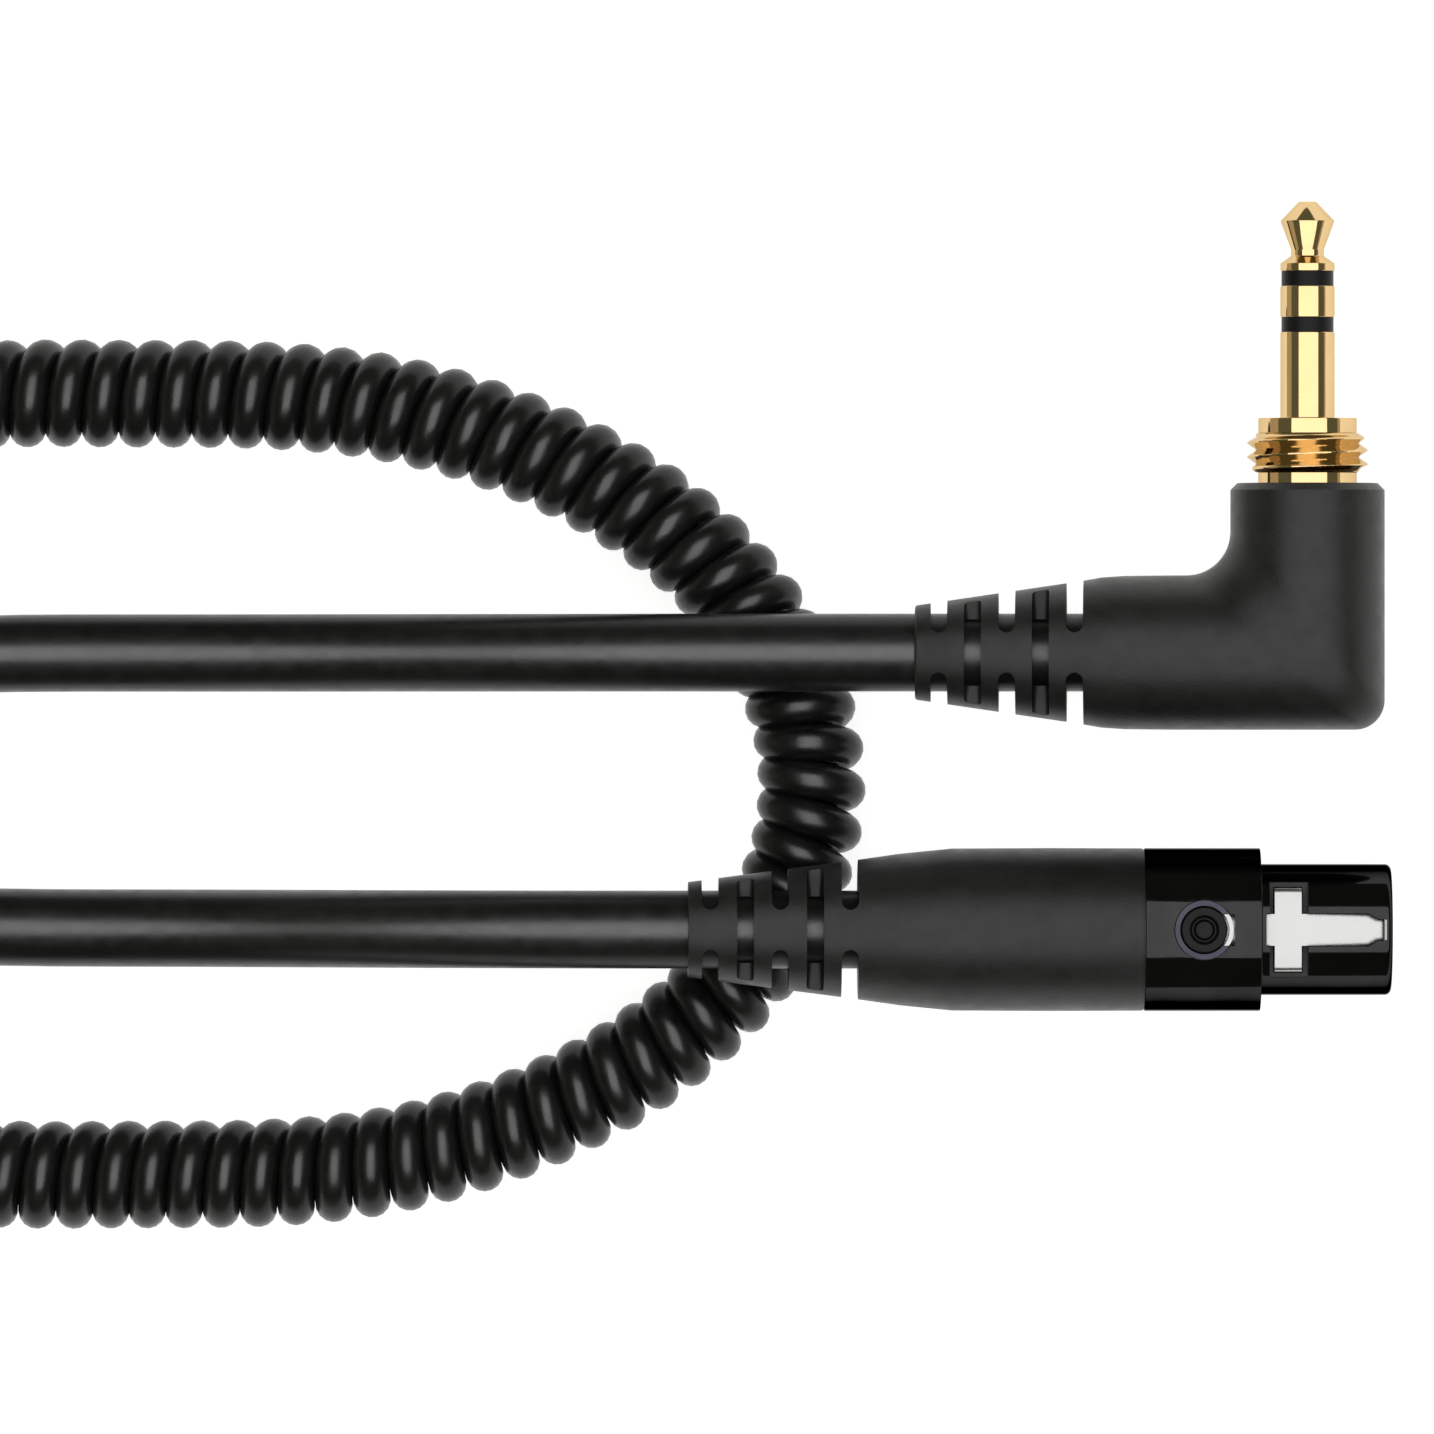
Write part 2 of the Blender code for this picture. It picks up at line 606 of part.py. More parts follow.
def make_xlr(finishes):
    frame = empty("xlr_plug_frame", XLR_NOSE, XLR_TILT)
    shell = [
        (0.0, NOSE_BORE),
        (0.0, NOSE_RADIUS - NOSE_EDGE),
        (-NOSE_EDGE, NOSE_RADIUS),
        (-NOSE_LENGTH, NOSE_RADIUS),
        (-NOSE_LENGTH, SHELL_RADIUS - SHELL_EDGE),
        (-NOSE_LENGTH - SHELL_EDGE, SHELL_RADIUS),
        (-SHELL_LENGTH, SHELL_RADIUS),
        (-SHELL_LENGTH, SHELL_BORE),
        (-NOSE_LENGTH - SHELL_STEP, SHELL_BORE),
        (-NOSE_LENGTH - SHELL_STEP, NOSE_BORE),
    ]
    shell = add("xlr_shell", *turned(shell, "x", closed=True), finishes["shell"], frame)
    strip_half = LEAF_HALF + LEAF_PLAY
    window = [
        (-0.3, LEAF_TONGUE_HALF + 0.1),
        (-LEAF_TAPER, strip_half),
        (-WINDOW_BAR_SPAN[0], strip_half),
        (-WINDOW_BAR_SPAN[0], WINDOW_BAR_HALF),
        (-WINDOW_BAR_SPAN[1], WINDOW_BAR_HALF),
        (-WINDOW_BAR_SPAN[1], strip_half),
        (-WINDOW_BAR_SPAN[1] - 0.1, strip_half),
    ]
    window = window + [(x, -y) for x, y in reversed(window)]
    button_hole = turned([(3.0, BUTTON_HOLE), (7.0, BUTTON_HOLE)], "z", centre=(-BUTTON_BACK, 0.0))
    notch = block((-9.6, -1.3, 2.4), (-7.4, 1.3, 3.75))
    cuts = [plate(window, "z", 2.2, 6.0), button_hole]
    boolean(shell, cuts, "DIFFERENCE", finishes["shell"], "window")
    boolean(shell, [notch], "DIFFERENCE", finishes["shell"], "notch")

    insert = [
        (-INSERT_FACE, 0.0),
        (-INSERT_FACE, INSERT_RADIUS),
        (-INSERT_END, INSERT_RADIUS),
        (-INSERT_END, 0.0),
    ]
    insert = add("xlr_insert", *turned(insert, "x"), finishes["insulator"], frame)
    cuts = [
        block((-INSERT_END - 1.0, -1.3, CHANNEL_FLOOR), (0.5, 1.3, 6.0)),
        block((-9.0, -3.4, CHANNEL_FLOOR), (-4.9, 3.4, 6.0)),
    ]
    boolean(insert, cuts[:1], "DIFFERENCE", finishes["insulator"], "channel")
    boolean(insert, cuts[1:], "DIFFERENCE", finishes["insulator"], "pocket")
    contact = [
        (-PIN_BORE_END, 0.0),
        (-PIN_BORE_END, PIN_BORE),
        (-CONTACT_SPAN[0], PIN_BORE),
        (-CONTACT_SPAN[0], CONTACT_RADIUS),
        (-CONTACT_SPAN[1], CONTACT_RADIUS),
        (-CONTACT_SPAN[1], PIN_BORE),
        (-WIRE_BORE_START, PIN_BORE),
        (-WIRE_BORE_START, 0.0),
    ]
    holes = []
    for number, angle in enumerate(CONTACT_ANGLES, 1):
        turn = math.radians(angle)
        centre = (CONTACT_CIRCLE * math.cos(turn), CONTACT_CIRCLE * math.sin(turn))
        add(
            f"xlr_contact_{number}",
            *turned(contact, "x", SMALL_SIDES, centre=centre),
            finishes["gold"],
            frame,
        )
        bore = [(-INSERT_END - 1.0, CONTACT_RADIUS + FINE_GAP), (0.5, CONTACT_RADIUS + FINE_GAP)]
        holes.append(turned(bore, "x", SMALL_SIDES, centre=centre))
        wire = [
            (-18.0, 0.55 * centre[0], 0.55 * centre[1]),
            (-17.2, 0.65 * centre[0], 0.65 * centre[1]),
            (-15.6, 0.95 * centre[0], 0.95 * centre[1]),
            (-14.7, centre[0], centre[1]),
        ]
        tube(f"xlr_wire_{number}", wire, 0.45, 2, finishes[f"xlr_wire_{number}"], frame)
    boolean(insert, holes, "DIFFERENCE", finishes["insulator"], "contact_holes")

    boot = [
        (-SPIGOT_START, SPIGOT_RADII[0]),
        (-SPIGOT_START, SPIGOT_RADII[1]),
        (-SHELL_LENGTH - GAP, SPIGOT_RADII[1]),
        (-SHELL_LENGTH - GAP, SHELL_RADIUS),
        (-BOOT_STRAIGHT_END, SHELL_RADIUS),
        (-XLR_RELIEF_START, XLR_RELIEF_RADII[0]),
        (-XLR_RELIEF_END, XLR_RELIEF_RADII[1]),
        (-XLR_RELIEF_END, BORE),
        (-XLR_CAVITY_SPAN[1], BORE),
        (-XLR_CAVITY_SPAN[1], XLR_CAVITY_RADIUS),
        (-XLR_CAVITY_SPAN[0], XLR_CAVITY_RADIUS),
        (-XLR_CAVITY_SPAN[0], SPIGOT_RADII[0]),
    ]
    boot = add("xlr_boot", *turned(boot, "x", closed=True), finishes["moulding"], frame)
    centres = [-XLR_FIRST_SLOT - 1.025 * SLOT_PITCH * i for i in range(5)]
    boolean(boot, relief_slots(centres, WINDOW_HALF, 6.0), "DIFFERENCE", finishes["moulding"], "slots")
    grip = [
        (-GRIP_SPAN[0], BORE),
        (-GRIP_SPAN[0], GRIP_RADIUS),
        (-GRIP_SPAN[1], GRIP_RADIUS),
        (-GRIP_SPAN[1], BORE),
    ]
    add("xlr_cable_grip", *turned(grip, "x", closed=True), finishes["brass"], frame)

    pivot = empty("latch_pivot", (-PIVOT_BACK, 0.0, PIVOT_HEIGHT), parent=frame)
    leaf = [(x + PIVOT_BACK, y) for x, y in leaf_outline()]
    low, high = LEAF_TOP - LEAF_THICKNESS - PIVOT_HEIGHT, LEAF_TOP - PIVOT_HEIGHT
    add("xlr_latch", *plate(leaf, "z", low, high), finishes["steel"], pivot)

    button = [
        (BUTTON_FOOT, 0.0),
        (BUTTON_FOOT, BUTTON_RADIUS),
        (BUTTON_TOP - BUTTON_EDGE, BUTTON_RADIUS),
        (BUTTON_TOP, BUTTON_RADIUS - BUTTON_EDGE),
        (BUTTON_TOP, GROOVE_RADII[0]),
        (BUTTON_TOP - GROOVE_DEPTH, GROOVE_RADII[0]),
        (BUTTON_TOP - GROOVE_DEPTH, GROOVE_RADII[1]),
        (BUTTON_TOP, GROOVE_RADII[1]),
        (BUTTON_TOP, 0.0),
    ]
    place = (-BUTTON_BACK, 0.0, 0.0)
    button = add("xlr_release_button", *turned(button, "z", 20), finishes["button"], frame, place)
    ear_half, ear_reach = BUTTON_EARS
    ears = block((-ear_half, -ear_reach, BUTTON_FOOT + 0.02), (ear_half, ear_reach, EARS_TOP))
    leaf_slot = block((-3.0, -1.15, BUTTON_FOOT - 1.0), (3.0, 1.15, LEAF_TOP + 0.2))
    boolean(button, [ears], "UNION", finishes["button"], "ears")
    boolean(button, [leaf_slot], "DIFFERENCE", finishes["button"], "leaf_slot")


def curly_route():
    """Middle line of the curly cord: ear, strand, loop, strand and ear."""
    x0, y0 = EAR_CENTRE
    half = [(SLEEVE_FACES[0] - GAP, SLEEVE_OFFSET, SLEEVE_HEIGHT)]
    for angle in range(-90, -271, -30):
        turn = math.radians(angle)
        half.append((x0 + EAR_RADIUS * math.cos(turn), y0 + EAR_RADIUS * math.sin(turn), FLOOR_Z))
    half += CURLY_STRAND
    loop = []
    for angle in range(75, -76, -15):
        turn = math.radians(angle)
        x = LOOP_CENTRE_X + LOOP_HALF_LENGTH * math.cos(turn)
        loop.append((x, BUNDLE_Y + LOOP_HALF_WIDTH * math.sin(turn), FLOOR_Z))
    first = [(x, BUNDLE_Y + offset, z) for x, offset, z in half]
    last = [(x, BUNDLE_Y - offset, z) for x, offset, z in reversed(half)]
    return first + loop + last


def make_cords(finishes):
    tube("jack_lead", spline_points(JACK_LEAD_ROUTE, LEAD_STEP), LEAD_RADIUS, 3, finishes["jacket"])
    tube("xlr_lead", spline_points(XLR_LEAD_ROUTE, LEAD_STEP), LEAD_RADIUS, 3, finishes["jacket"])
    tube("curly_cord", spline_points(curly_route(), CURLY_STEP), CURLY_RADIUS, 3, finishes["curly"])
    far, near = SLEEVE_FACES
    stop = near - SLEEVE_DEPTH
    profile = [
        (far, 0.0),
        (far, SLEEVE_RADII[0]),
        (far + SLEEVE_TAPERS[0], SLEEVE_RADII[1]),
        (near - SLEEVE_TAPERS[1], SLEEVE_RADII[1]),
        (near, SLEEVE_RADII[2]),
        (near, BORE),
        (stop, BORE),
        (stop, 0.0),
    ]
    for name, side in (("jack_lead_sleeve", 1), ("xlr_lead_sleeve", -1)):
        centre = (BUNDLE_Y + side * SLEEVE_OFFSET, SLEEVE_HEIGHT)
        add(name, *turned(profile, "x", centre=centre), finishes["moulding"])


def make_tie(finishes):
    """A flat strap once round the bundle."""
    def rounded(half_width, low, high, corner):
        outline = []
        for cx, cz, start in (
            (half_width - corner, low + corner, -90),
            (half_width - corner, high - corner, 0),
            (corner - half_width, high - corner, 90),
            (corner - half_width, low + corner, 180),
        ):
            for step in range(5):
                turn = math.radians(start + 22.5 * step)
                outline.append((cx + corner * math.cos(turn), cz + corner * math.sin(turn)))
        return outline

    t = TIE_THICKNESS
    inside = rounded(TIE_INNER_HALF, t, TIE_INNER_TOP, TIE_CORNER)
    outside = rounded(TIE_INNER_HALF + t, 0.0, TIE_INNER_TOP + t, TIE_CORNER + t)
    x0, x1 = TIE_SPAN
    rings = []
    for x, outline in ((x0, inside), (x0, outside), (x1, outside), (x1, inside)):
        rings.append([(x, BUNDLE_Y + y, z) for y, z in outline])
    add("cable_tie", *skin(rings, closed=True), finishes["tie"])


def make_finishes():
    wires = {
        "jack_tip_wire": (0.75, 0.75, 0.72),
        "jack_ring_wire": (0.55, 0.04, 0.03),
        "jack_sleeve_wire": (0.62, 0.30, 0.12),
        "xlr_wire_1": (0.62, 0.30, 0.12),
        "xlr_wire_2": (0.75, 0.75, 0.72),
        "xlr_wire_3": (0.55, 0.04, 0.03),
    }
    finishes = {
        "moulding": material("matt_black_moulding", (0.045, 0.045, 0.047), 0.55),
        "jacket": material("satin_black_jacket", (0.035, 0.035, 0.036), 0.42),
        "curly": material("curly_cord_jacket", (0.028, 0.028, 0.028), 0.4),
        "insulator": material("black_insulator", (0.02, 0.02, 0.02), 0.4),
        "gold": material("gold_plate", (0.9, 0.62, 0.25), 0.2, 1.0),
        "brass": material("tinned_brass", (0.7, 0.66, 0.55), 0.35, 1.0),
        "shell": material("black_plated_shell", (0.01, 0.01, 0.011), 0.15, 0.4),
        "steel": material("latch_spring_steel", (0.75, 0.75, 0.75), 0.3, 1.0),
        "button": material("black_button", (0.02, 0.02, 0.02), 0.35),
        "tie": material("woven_tie", (0.04, 0.04, 0.045), 0.9),
    }
    for name, colour in wires.items():
        finishes[name] = material(f"{name}_cover", colour, 0.5)
    return finishes


def main():
    clear_scene()
    finishes = make_finishes()
    make_jack(finishes)
    make_xlr(finishes)
    make_cords(finishes)
    make_tie(finishes)


main()
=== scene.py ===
"""Looks of the coiled headphone cable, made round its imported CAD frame.

Sizes below are in millimetres and angles in degrees, as in the CAD source, and
the pieces are in metres. Each plug's pieces are made in the plug's own frame:
the jack plug's is at its elbow, with the jack along +Y and the cable towards
-X; the mini-XLR's is at the middle of its front face, with the cable towards -X
and the release button on +Z.
"""

import math

import bmesh
import bpy
import numpy as np
from mathutils import Matrix, Vector


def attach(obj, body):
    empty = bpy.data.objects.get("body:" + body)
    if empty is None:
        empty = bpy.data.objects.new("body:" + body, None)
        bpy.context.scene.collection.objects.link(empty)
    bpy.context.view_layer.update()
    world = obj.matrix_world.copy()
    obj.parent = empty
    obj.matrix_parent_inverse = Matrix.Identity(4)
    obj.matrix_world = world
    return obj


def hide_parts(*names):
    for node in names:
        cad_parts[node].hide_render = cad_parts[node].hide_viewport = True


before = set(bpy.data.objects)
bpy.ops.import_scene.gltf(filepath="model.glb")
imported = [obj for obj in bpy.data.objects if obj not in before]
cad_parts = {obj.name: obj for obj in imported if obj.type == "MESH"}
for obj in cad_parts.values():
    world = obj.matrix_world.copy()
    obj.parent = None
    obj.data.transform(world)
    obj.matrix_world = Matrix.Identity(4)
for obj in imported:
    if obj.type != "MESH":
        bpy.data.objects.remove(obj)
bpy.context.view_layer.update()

MM = 0.001
FINE = 96            # facets round a turned piece
SHELL_FACETS = 144
BUTTON_FACETS = 72   # round the release button and the ring round it
CUTTER = 48          # facets round a cutter
SMOOTH_BELOW = 35.0  # gentler edges than this are shaded smooth
KEEN_BELOW = 28.0    # the same on the thread and the jack's tip
NO_LENGTH = 1e-6     # a shorter edge has no direction
FLAT_TURN = 0.2      # radians; a gentler corner isn't rounded
EDGE_SHARE = 0.4     # the most that a rounding takes of an edge
SPLINE_STEPS = 48    # points from one knot of a route to the next

# view: a long lens over the middle of the two plugs, leaning as they do
VIEW_TILT = 9.0
VIEW_AIM = (-22.25, -7.08, 0.0)
VIEW_WIDTH = 91.92
VIEW_DISTANCE = 2000.0
VIEW_HEIGHT = 11.0             # height over the table at which the view is VIEW_WIDTH wide
SENSOR = 36.0
CLIP_SPAN = (0.05, 50.0)       # metres

# places of the two plugs
JACK_ELBOW = (16.86, -2.95, 4.97)
JACK_TILT = 7.7
XLR_NOSE = (22.13, -20.70, 4.09)
XLR_TILT = 9.8

# cords
LEAD_RADIUS = 2.5
LEAD_BORE = 2.56
WIRE_RADIUS = 1.215            # of the cord that the curly cord is wound from
HELIX_RADIUS = 2.275
HELIX_PITCH = 2.402
HELIX_START = 0.27             # distance past the loop's +X end at which a turn is outermost
HELIX_TAPER = 7.0              # length over which the turns open out at each end
TURN_STEPS = 32
MIDDLE_STEP = 0.25             # between points of the curly cord's middle line

BUNDLE_Y = -11.41
LOOP_CENTRE_X = -53.6
LOOP_HALF_LENGTH = 38.07
LOOP_HALF_WIDTH = 25.2
EAR_CENTRE = (-149.7, 14.0)
EAR_RADIUS = 10.0
CURLY_INSET = 1.0              # of its ends in the sleeves
FLOOR_Z = 3.51                 # height of its middle line where it rests on the table
SLEEVE_FACES = (-145.0, -130.0)
SLEEVE_OFFSET = 4.0
SLEEVE_HEIGHT = 3.65
SLEEVE_PLAY = 0.05             # round the wound cord
SLEEVE_BORE_DEPTH = 6.0        # of the lead in the sleeve
SLEEVE_TAPER = 1.6
SLEEVE_RADIUS = 3.6
SLEEVE_FAR_RADII = (2.9, 3.55)
SLEEVE_NEAR_RADIUS = 2.95
SLEEVE_ROUND = 0.3
FLUTE_COUNT = 5                # ring grooves round a sleeve
FLUTE_START = 3.2
FLUTE_PITCH = 1.9
FLUTE_SECTION = [(0.0, SLEEVE_RADIUS), (0.25, 3.25), (0.85, 3.25), (1.1, SLEEVE_RADIUS)]

CURLY_STRAND = [
    (-141.0, 20.9, 3.51),
    (-131.7, 14.2, 3.80),
    (-124.2, 9.9, 4.40),
    (-119.0, 9.07, 4.55),
    (-113.5, 9.07, 4.55),
    (-108.0, 9.10, 4.50),
    (-100.4, 10.6, 3.90),
    (-92.8, 14.6, 3.56),
    (-85.2, 19.6, 3.51),
    (-77.6, 23.7, 3.51),
    (-70.0, 25.1, 3.51),
    (-61.0, 25.2, 3.51),
]
JACK_LEAD_ROUTE = [
    (7.74, -2.95, 6.20),
    (0.0, -2.95, 7.25),
    (-8.26, -2.95, 8.37),
    (-13.0, -2.95, 9.01),
    (-17.74, -2.95, 9.65),
    (-22.5, -2.95, 9.85),
    (-28.0, -2.95, 9.30),
    (-34.0, -2.95, 7.90),
    (-41.0, -2.95, 5.70),
    (-48.0, -2.95, 3.80),
    (-56.0, -2.95, 2.70),
    (-64.0, -2.95, 2.55),
    (-71.0, -3.05, 2.55),
    (-80.0, -3.80, 2.55),
    (-90.0, -5.80, 2.55),
    (-99.0, -7.90, 2.80),
    (-107.0, -8.62, 3.50),
    (-113.5, -8.66, 3.65),
    (-120.0, -8.50, 3.65),
    (-126.0, -7.75, 3.65),
    (-131.0, -7.43, 3.65),
    (-135.7, -7.41, 3.65),
]
XLR_LEAD_ROUTE = [
    (4.10, -20.70, 7.21),
    (-9.0, -20.70, 9.47),
    (-22.27, -20.70, 11.76),
    (-26.5, -20.70, 12.33),
    (-31.0, -20.70, 12.30),
    (-36.5, -20.70, 11.30),
    (-43.0, -20.70, 9.00),
    (-50.0, -20.70, 6.10),
    (-57.0, -20.70, 3.80),
    (-64.0, -20.70, 2.70),
    (-71.0, -20.58, 2.55),
    (-80.0, -19.70, 2.55),
    (-90.0, -17.40, 2.55),
    (-99.0, -15.05, 2.80),
    (-107.0, -14.20, 3.50),
    (-113.5, -14.16, 3.65),
    (-120.0, -14.32, 3.65),
    (-126.0, -15.07, 3.65),
    (-131.0, -15.39, 3.65),
    (-135.7, -15.41, 3.65),
]
LEAD_POINTS = 40
LEAD_BEVEL = 12                # resolution of a lead's roundness
WIRE_BEVEL = 6

# where each lead leaves its strain relief, in the plugs' own frames
JACK_RELIEF_END = -25.16
XLR_RELIEF_END = -45.06

# strain reliefs
SLOT_WIDTH = 1.09
WEB_HALF = 1.28
GROOVE_FLOOR = 1.42            # height of a front groove's floor over the axis
GROOVE_CORNER = 0.3
CUT_REACH = 7.0                # past the outside of either relief
JACK_SLOTS = [-14.9 - 2.18 * i for i in range(5)]
XLR_SLOTS = [-34.71 - 2.2345 * i for i in range(5)]

# jack plug
BODY_RADIUS = 4.95
SHOULDER = 10.87
SHOULDER_CHAMFER = 0.45
OUTER_FILLET = 1.9
INNER_FILLET = 2.8
ELBOW_RINGS = 15
JACK_RELIEF_RADIUS = 3.02
JACK_TAPER = [(-14.5, 4.59), (-13.2, 4.82), (-11.7, 4.92), (-8.6, BODY_RADIUS)]
JACK_BORE_SPAN = (-40.0, -9.0)
TAPER_ROUND = 0.3
SHOULDER_ROUND = 0.12
MOUTH_PLAY = 0.06              # round the collar
MOUTH_DEPTH = 1.6
MOUTH_CENTRE = 1.0             # radius of the innermost ring of the mouth's floor
COLLAR_RADIUS = 3.175
COLLAR_LENGTH = 4.17
COLLAR_FOOT = -1.5
THREAD_SPAN = (0.71, 3.16)
THREAD_MARGIN = 0.06
THREAD_STATIONS = 150
THREAD_FLANK = 1.1             # over 1, so that crests are a little flat
THREAD_ENTRY = (0.5, 0.2)      # length over which it rises, and the share that it starts with
THREAD_EXIT = (0.42, 0.1)
THREAD_ROOT = 3.30
THREAD_CREST = 3.88
THREAD_PITCH = 0.9
THREAD_START = 1.66            # height of a crest on the collar's -X side
JACK_RADIUS = 1.75
CONTACT_BORE = 1.0
CONTACT_ROUND = 0.06
RING_ROUND = 0.05
RING_SPAN = (10.64, 12.63)
SLEEVE_TIP = 9.68
TIP_START = 13.59
TIP_PROFILE = [
    (TIP_START, 0.0),
    (TIP_START, JACK_RADIUS),
    (14.08, JACK_RADIUS),
    (14.56, 1.06),
    (14.95, 1.06),
    (16.80, JACK_RADIUS),
    (18.04, 0.55),
    (18.04, 0.0),
]
INSULATOR_RADIUS = 1.675
INSULATOR_BORE = 0.9

# mini-XLR
NOSE_RADIUS = 4.2
NOSE_BORE = 3.75
NOSE_LENGTH = 8.4
NOSE_ROUND = 0.4
SHELL_RADIUS = 5.225
SHELL_LENGTH = 15.83
SHELL_BORE = 4.6
SHELL_WALL = 0.6               # behind the step down to the nose
SEAM_RADIUS = 5.15             # bottom of the fine groove between shell and boot
SEAM_SPAN = (0.01, 0.13)
SEAM_STEP = 0.02               # the boot's edge, under the shell's
BOOT_CORE = (-14.7, 4.5)       # front and radius of the part inside the shell
BOOT_CORE_BORE = 3.6
BOOT_CORE_BACK = -17.0
BOOT_TAPER = [(-22.0, SHELL_RADIUS), (-28.14, SHELL_RADIUS - 0.03), (-31.5, 4.86), (-34.1, 4.485)]
BOOT_ROUND = 0.03
XLR_RELIEF_RADIUS = 3.05
BUTTON_BACK = 12.1
BUTTON_RADIUS = 1.48
BUTTON_HOLE = 1.53
BUTTON_FOOT = 3.76
BUTTON_TOP = 5.02
BUTTON_CROWN = [               # radius, and depth under the top
    (BUTTON_RADIUS, 0.02),
    (0.92, 0.02),
    (0.80, 0.38),
    (0.66, 0.38),
    (0.56, 0.06),
    (0.0, 0.06),
]
BUTTON_ROUND = 0.14
FOOT_EARS = (1.15, 1.1, 2.2, 3.32, 3.75)       # half-length, inner and outer side, low and high
FOOT_STEMS = (0.5, 1.1, 1.46, 3.3, 4.0)
SURROUND_RADIUS = 1.93         # flat ring let into the shell round the button
SURROUND_FLOOR = 4.4
SURROUND_TOP = 4.98
SURROUND_PLAY = 0.02
SURROUND_ROUND = 0.05
LEAF_PLAY = 0.04
LEAF_TOP = 3.6
LEAF_HALF = 1.02
LEAF_THICKNESS = 0.34
LEAF_EDGE = 0.05
LEAF_BEND = 40.0               # gentler edges are smooth and have no bevel
TONGUE_HALF = 0.66
TONGUE_BACK = -0.95
STRIP_FRONT = -1.55
TAB_INNER = 1.61
TAB_OUTER = 1.88
TAB_HALF = 1.0
TAB_TURN = 34.0                # half-angle of its outer side, round the button
TAB_FOOT = 0.1                 # under the leaf's top
TAB_TOP = 4.92
BAR_SPAN = (5.83, 7.56)
BAR_HALF = 2.67
WING_BENDS = [(2.36, 0.10), (2.56, 0.17), (BAR_HALF, 0.34)]    # half-width, and depth under the top
POCKET_SPAN = (5.40, 7.88)     # recess round the latch's wings
POCKET_HALF = 3.05
LEAF_STRIP = [                 # distance along the axis, half-width and height of the top
    (-0.36, 0.62, 3.26),
    (-0.46, 0.65, 3.48),
    (-0.58, 0.65, 3.57),
    (TONGUE_BACK, TONGUE_HALF, LEAF_TOP),
    (STRIP_FRONT, LEAF_HALF, LEAF_TOP),
    (-BAR_SPAN[0], LEAF_HALF, LEAF_TOP),
    (-BAR_SPAN[1], LEAF_HALF, LEAF_TOP),
    (-9.9, LEAF_HALF, LEAF_TOP),
    (-13.45, LEAF_HALF, LEAF_TOP),
]
FRAME_HEIGHTS = (2.36, 2.63)   # of the frame let into the recess
FRAME_OUTER_PLAY = 0.01
FRAME_INNER_PLAY = 0.08
OPENING_ENDS = (-0.3, -8.1)    # of the opening round the latch's strip
OPENING_FLOOR = 2.2
POCKET_FLOOR = 2.1
OPENING_TOP = 6.0
HOLE_SPAN = (3.4, 6.2)
PASSAGE = [(-9.6, -1.2, 2.4), (-7.4, 1.2, 3.78)]    # for the strip, through the wall behind the nose
NOTCH_SPAN = (0.8, 1.95)       # for the tab, in front of the button's middle
NOTCH_FLOOR = 4.0

TIE_SPAN = (-118.0, -109.0)
TIE_THICKNESS = 0.8
TIE_UNDERSIDE = 0.02
TIE_EDGE = 0.22
TIE_CORNER_STEPS = 8
TIE_INNER_HALF = 12.85
TIE_INNER_TOP = 8.3
TIE_CORNER = 3.4
LAP_STATIONS = [               # across the bundle, and height of underside and top over the band
    (-9.0, 0.03, 0.10),
    (-8.2, 0.03, 0.62),
    (-4.0, 0.03, 0.70),
    (2.0, 0.03, 0.68),
    (5.2, 0.03, 0.66),
    (6.4, 0.06, 0.50),
    (6.7, 0.12, 0.30),
]
LAP_HALF = 4.25
LAP_NARROWING = (4.0, 0.12)    # where its end begins to narrow, and by how much
LAP_BEVEL = 0.3
LAP_SHOULDER = 0.6             # share of the height at which the bevel begins

# finishes
NOISE_SPAN = (0.3, 0.7)        # of noise, over which a tone or a roughness changes
CLOUD_SPREAD = 0.25            # of a moulding's tone
WAVE_PERIOD = 0.31             # of a wave texture of scale 1

# table and light
FLOOR_REACH = 3000.0
FLOOR_GLOW = 0.84
FLOOR_TONES = (0.86, 0.88)
DARK_FLAGS = (0.125, 0.142, 0.108, 1.0)
HORIZON = (0.50, 0.45, 0.35, 1.0)
SIDE_FADE = (0.0, 0.15)        # the horizon is bright to left and right only
TOP_FADE = (0.30, 0.27)        # and below this much of the way up
SOFTBOXES = {                  # level, height in metres, first and last angle along, half-angle across
    "softbox_fill": (0.6, 1.3, -37, 46, 40),
    "softbox_plugs": (1.8, 1.0, -37, 46, 40.4),
    "softbox_leads": (8.0, 1.1, -62, 50, 22),
    "softbox_curly": (6.4, 1.2, -20, 24, 34),
}

# ---- shapes

def plug_frame(place, tilt):
    return Matrix.Translation(Vector(place) * MM) @ Matrix.Rotation(math.radians(tilt), 4, "Y")


JACK = plug_frame(JACK_ELBOW, JACK_TILT)
XLR = plug_frame(XLR_NOSE, XLR_TILT)
TABLE = Matrix.Identity(4)


def add(name, shape, finish, place=TABLE, smooth_below=SMOOTH_BELOW):
    """A mesh piece from points in millimetres and faces."""
    points, faces = shape
    mesh = bpy.data.meshes.new(name)
    build = bmesh.new()
    verts = [build.verts.new((p[0] * MM, p[1] * MM, p[2] * MM)) for p in points]
    for face in faces:
        build.faces.new([verts[i] for i in face])
    bmesh.ops.recalc_face_normals(build, faces=build.faces)
    build.to_mesh(mesh)
    build.free()
    mesh.shade_smooth()
    mesh.set_sharp_from_angle(angle=math.radians(smooth_below))
    mesh.materials.append(finish)
    piece = bpy.data.objects.new(name, mesh)
    piece.matrix_world = place
    bpy.context.collection.objects.link(piece)
    return piece


def enter(piece, body, node):
    """Puts a piece's placing into its mesh, and enters the piece for its body and CAD node."""
    piece.data.transform(piece.matrix_world)
    piece.matrix_world = TABLE
    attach(piece, body)
    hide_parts(node)


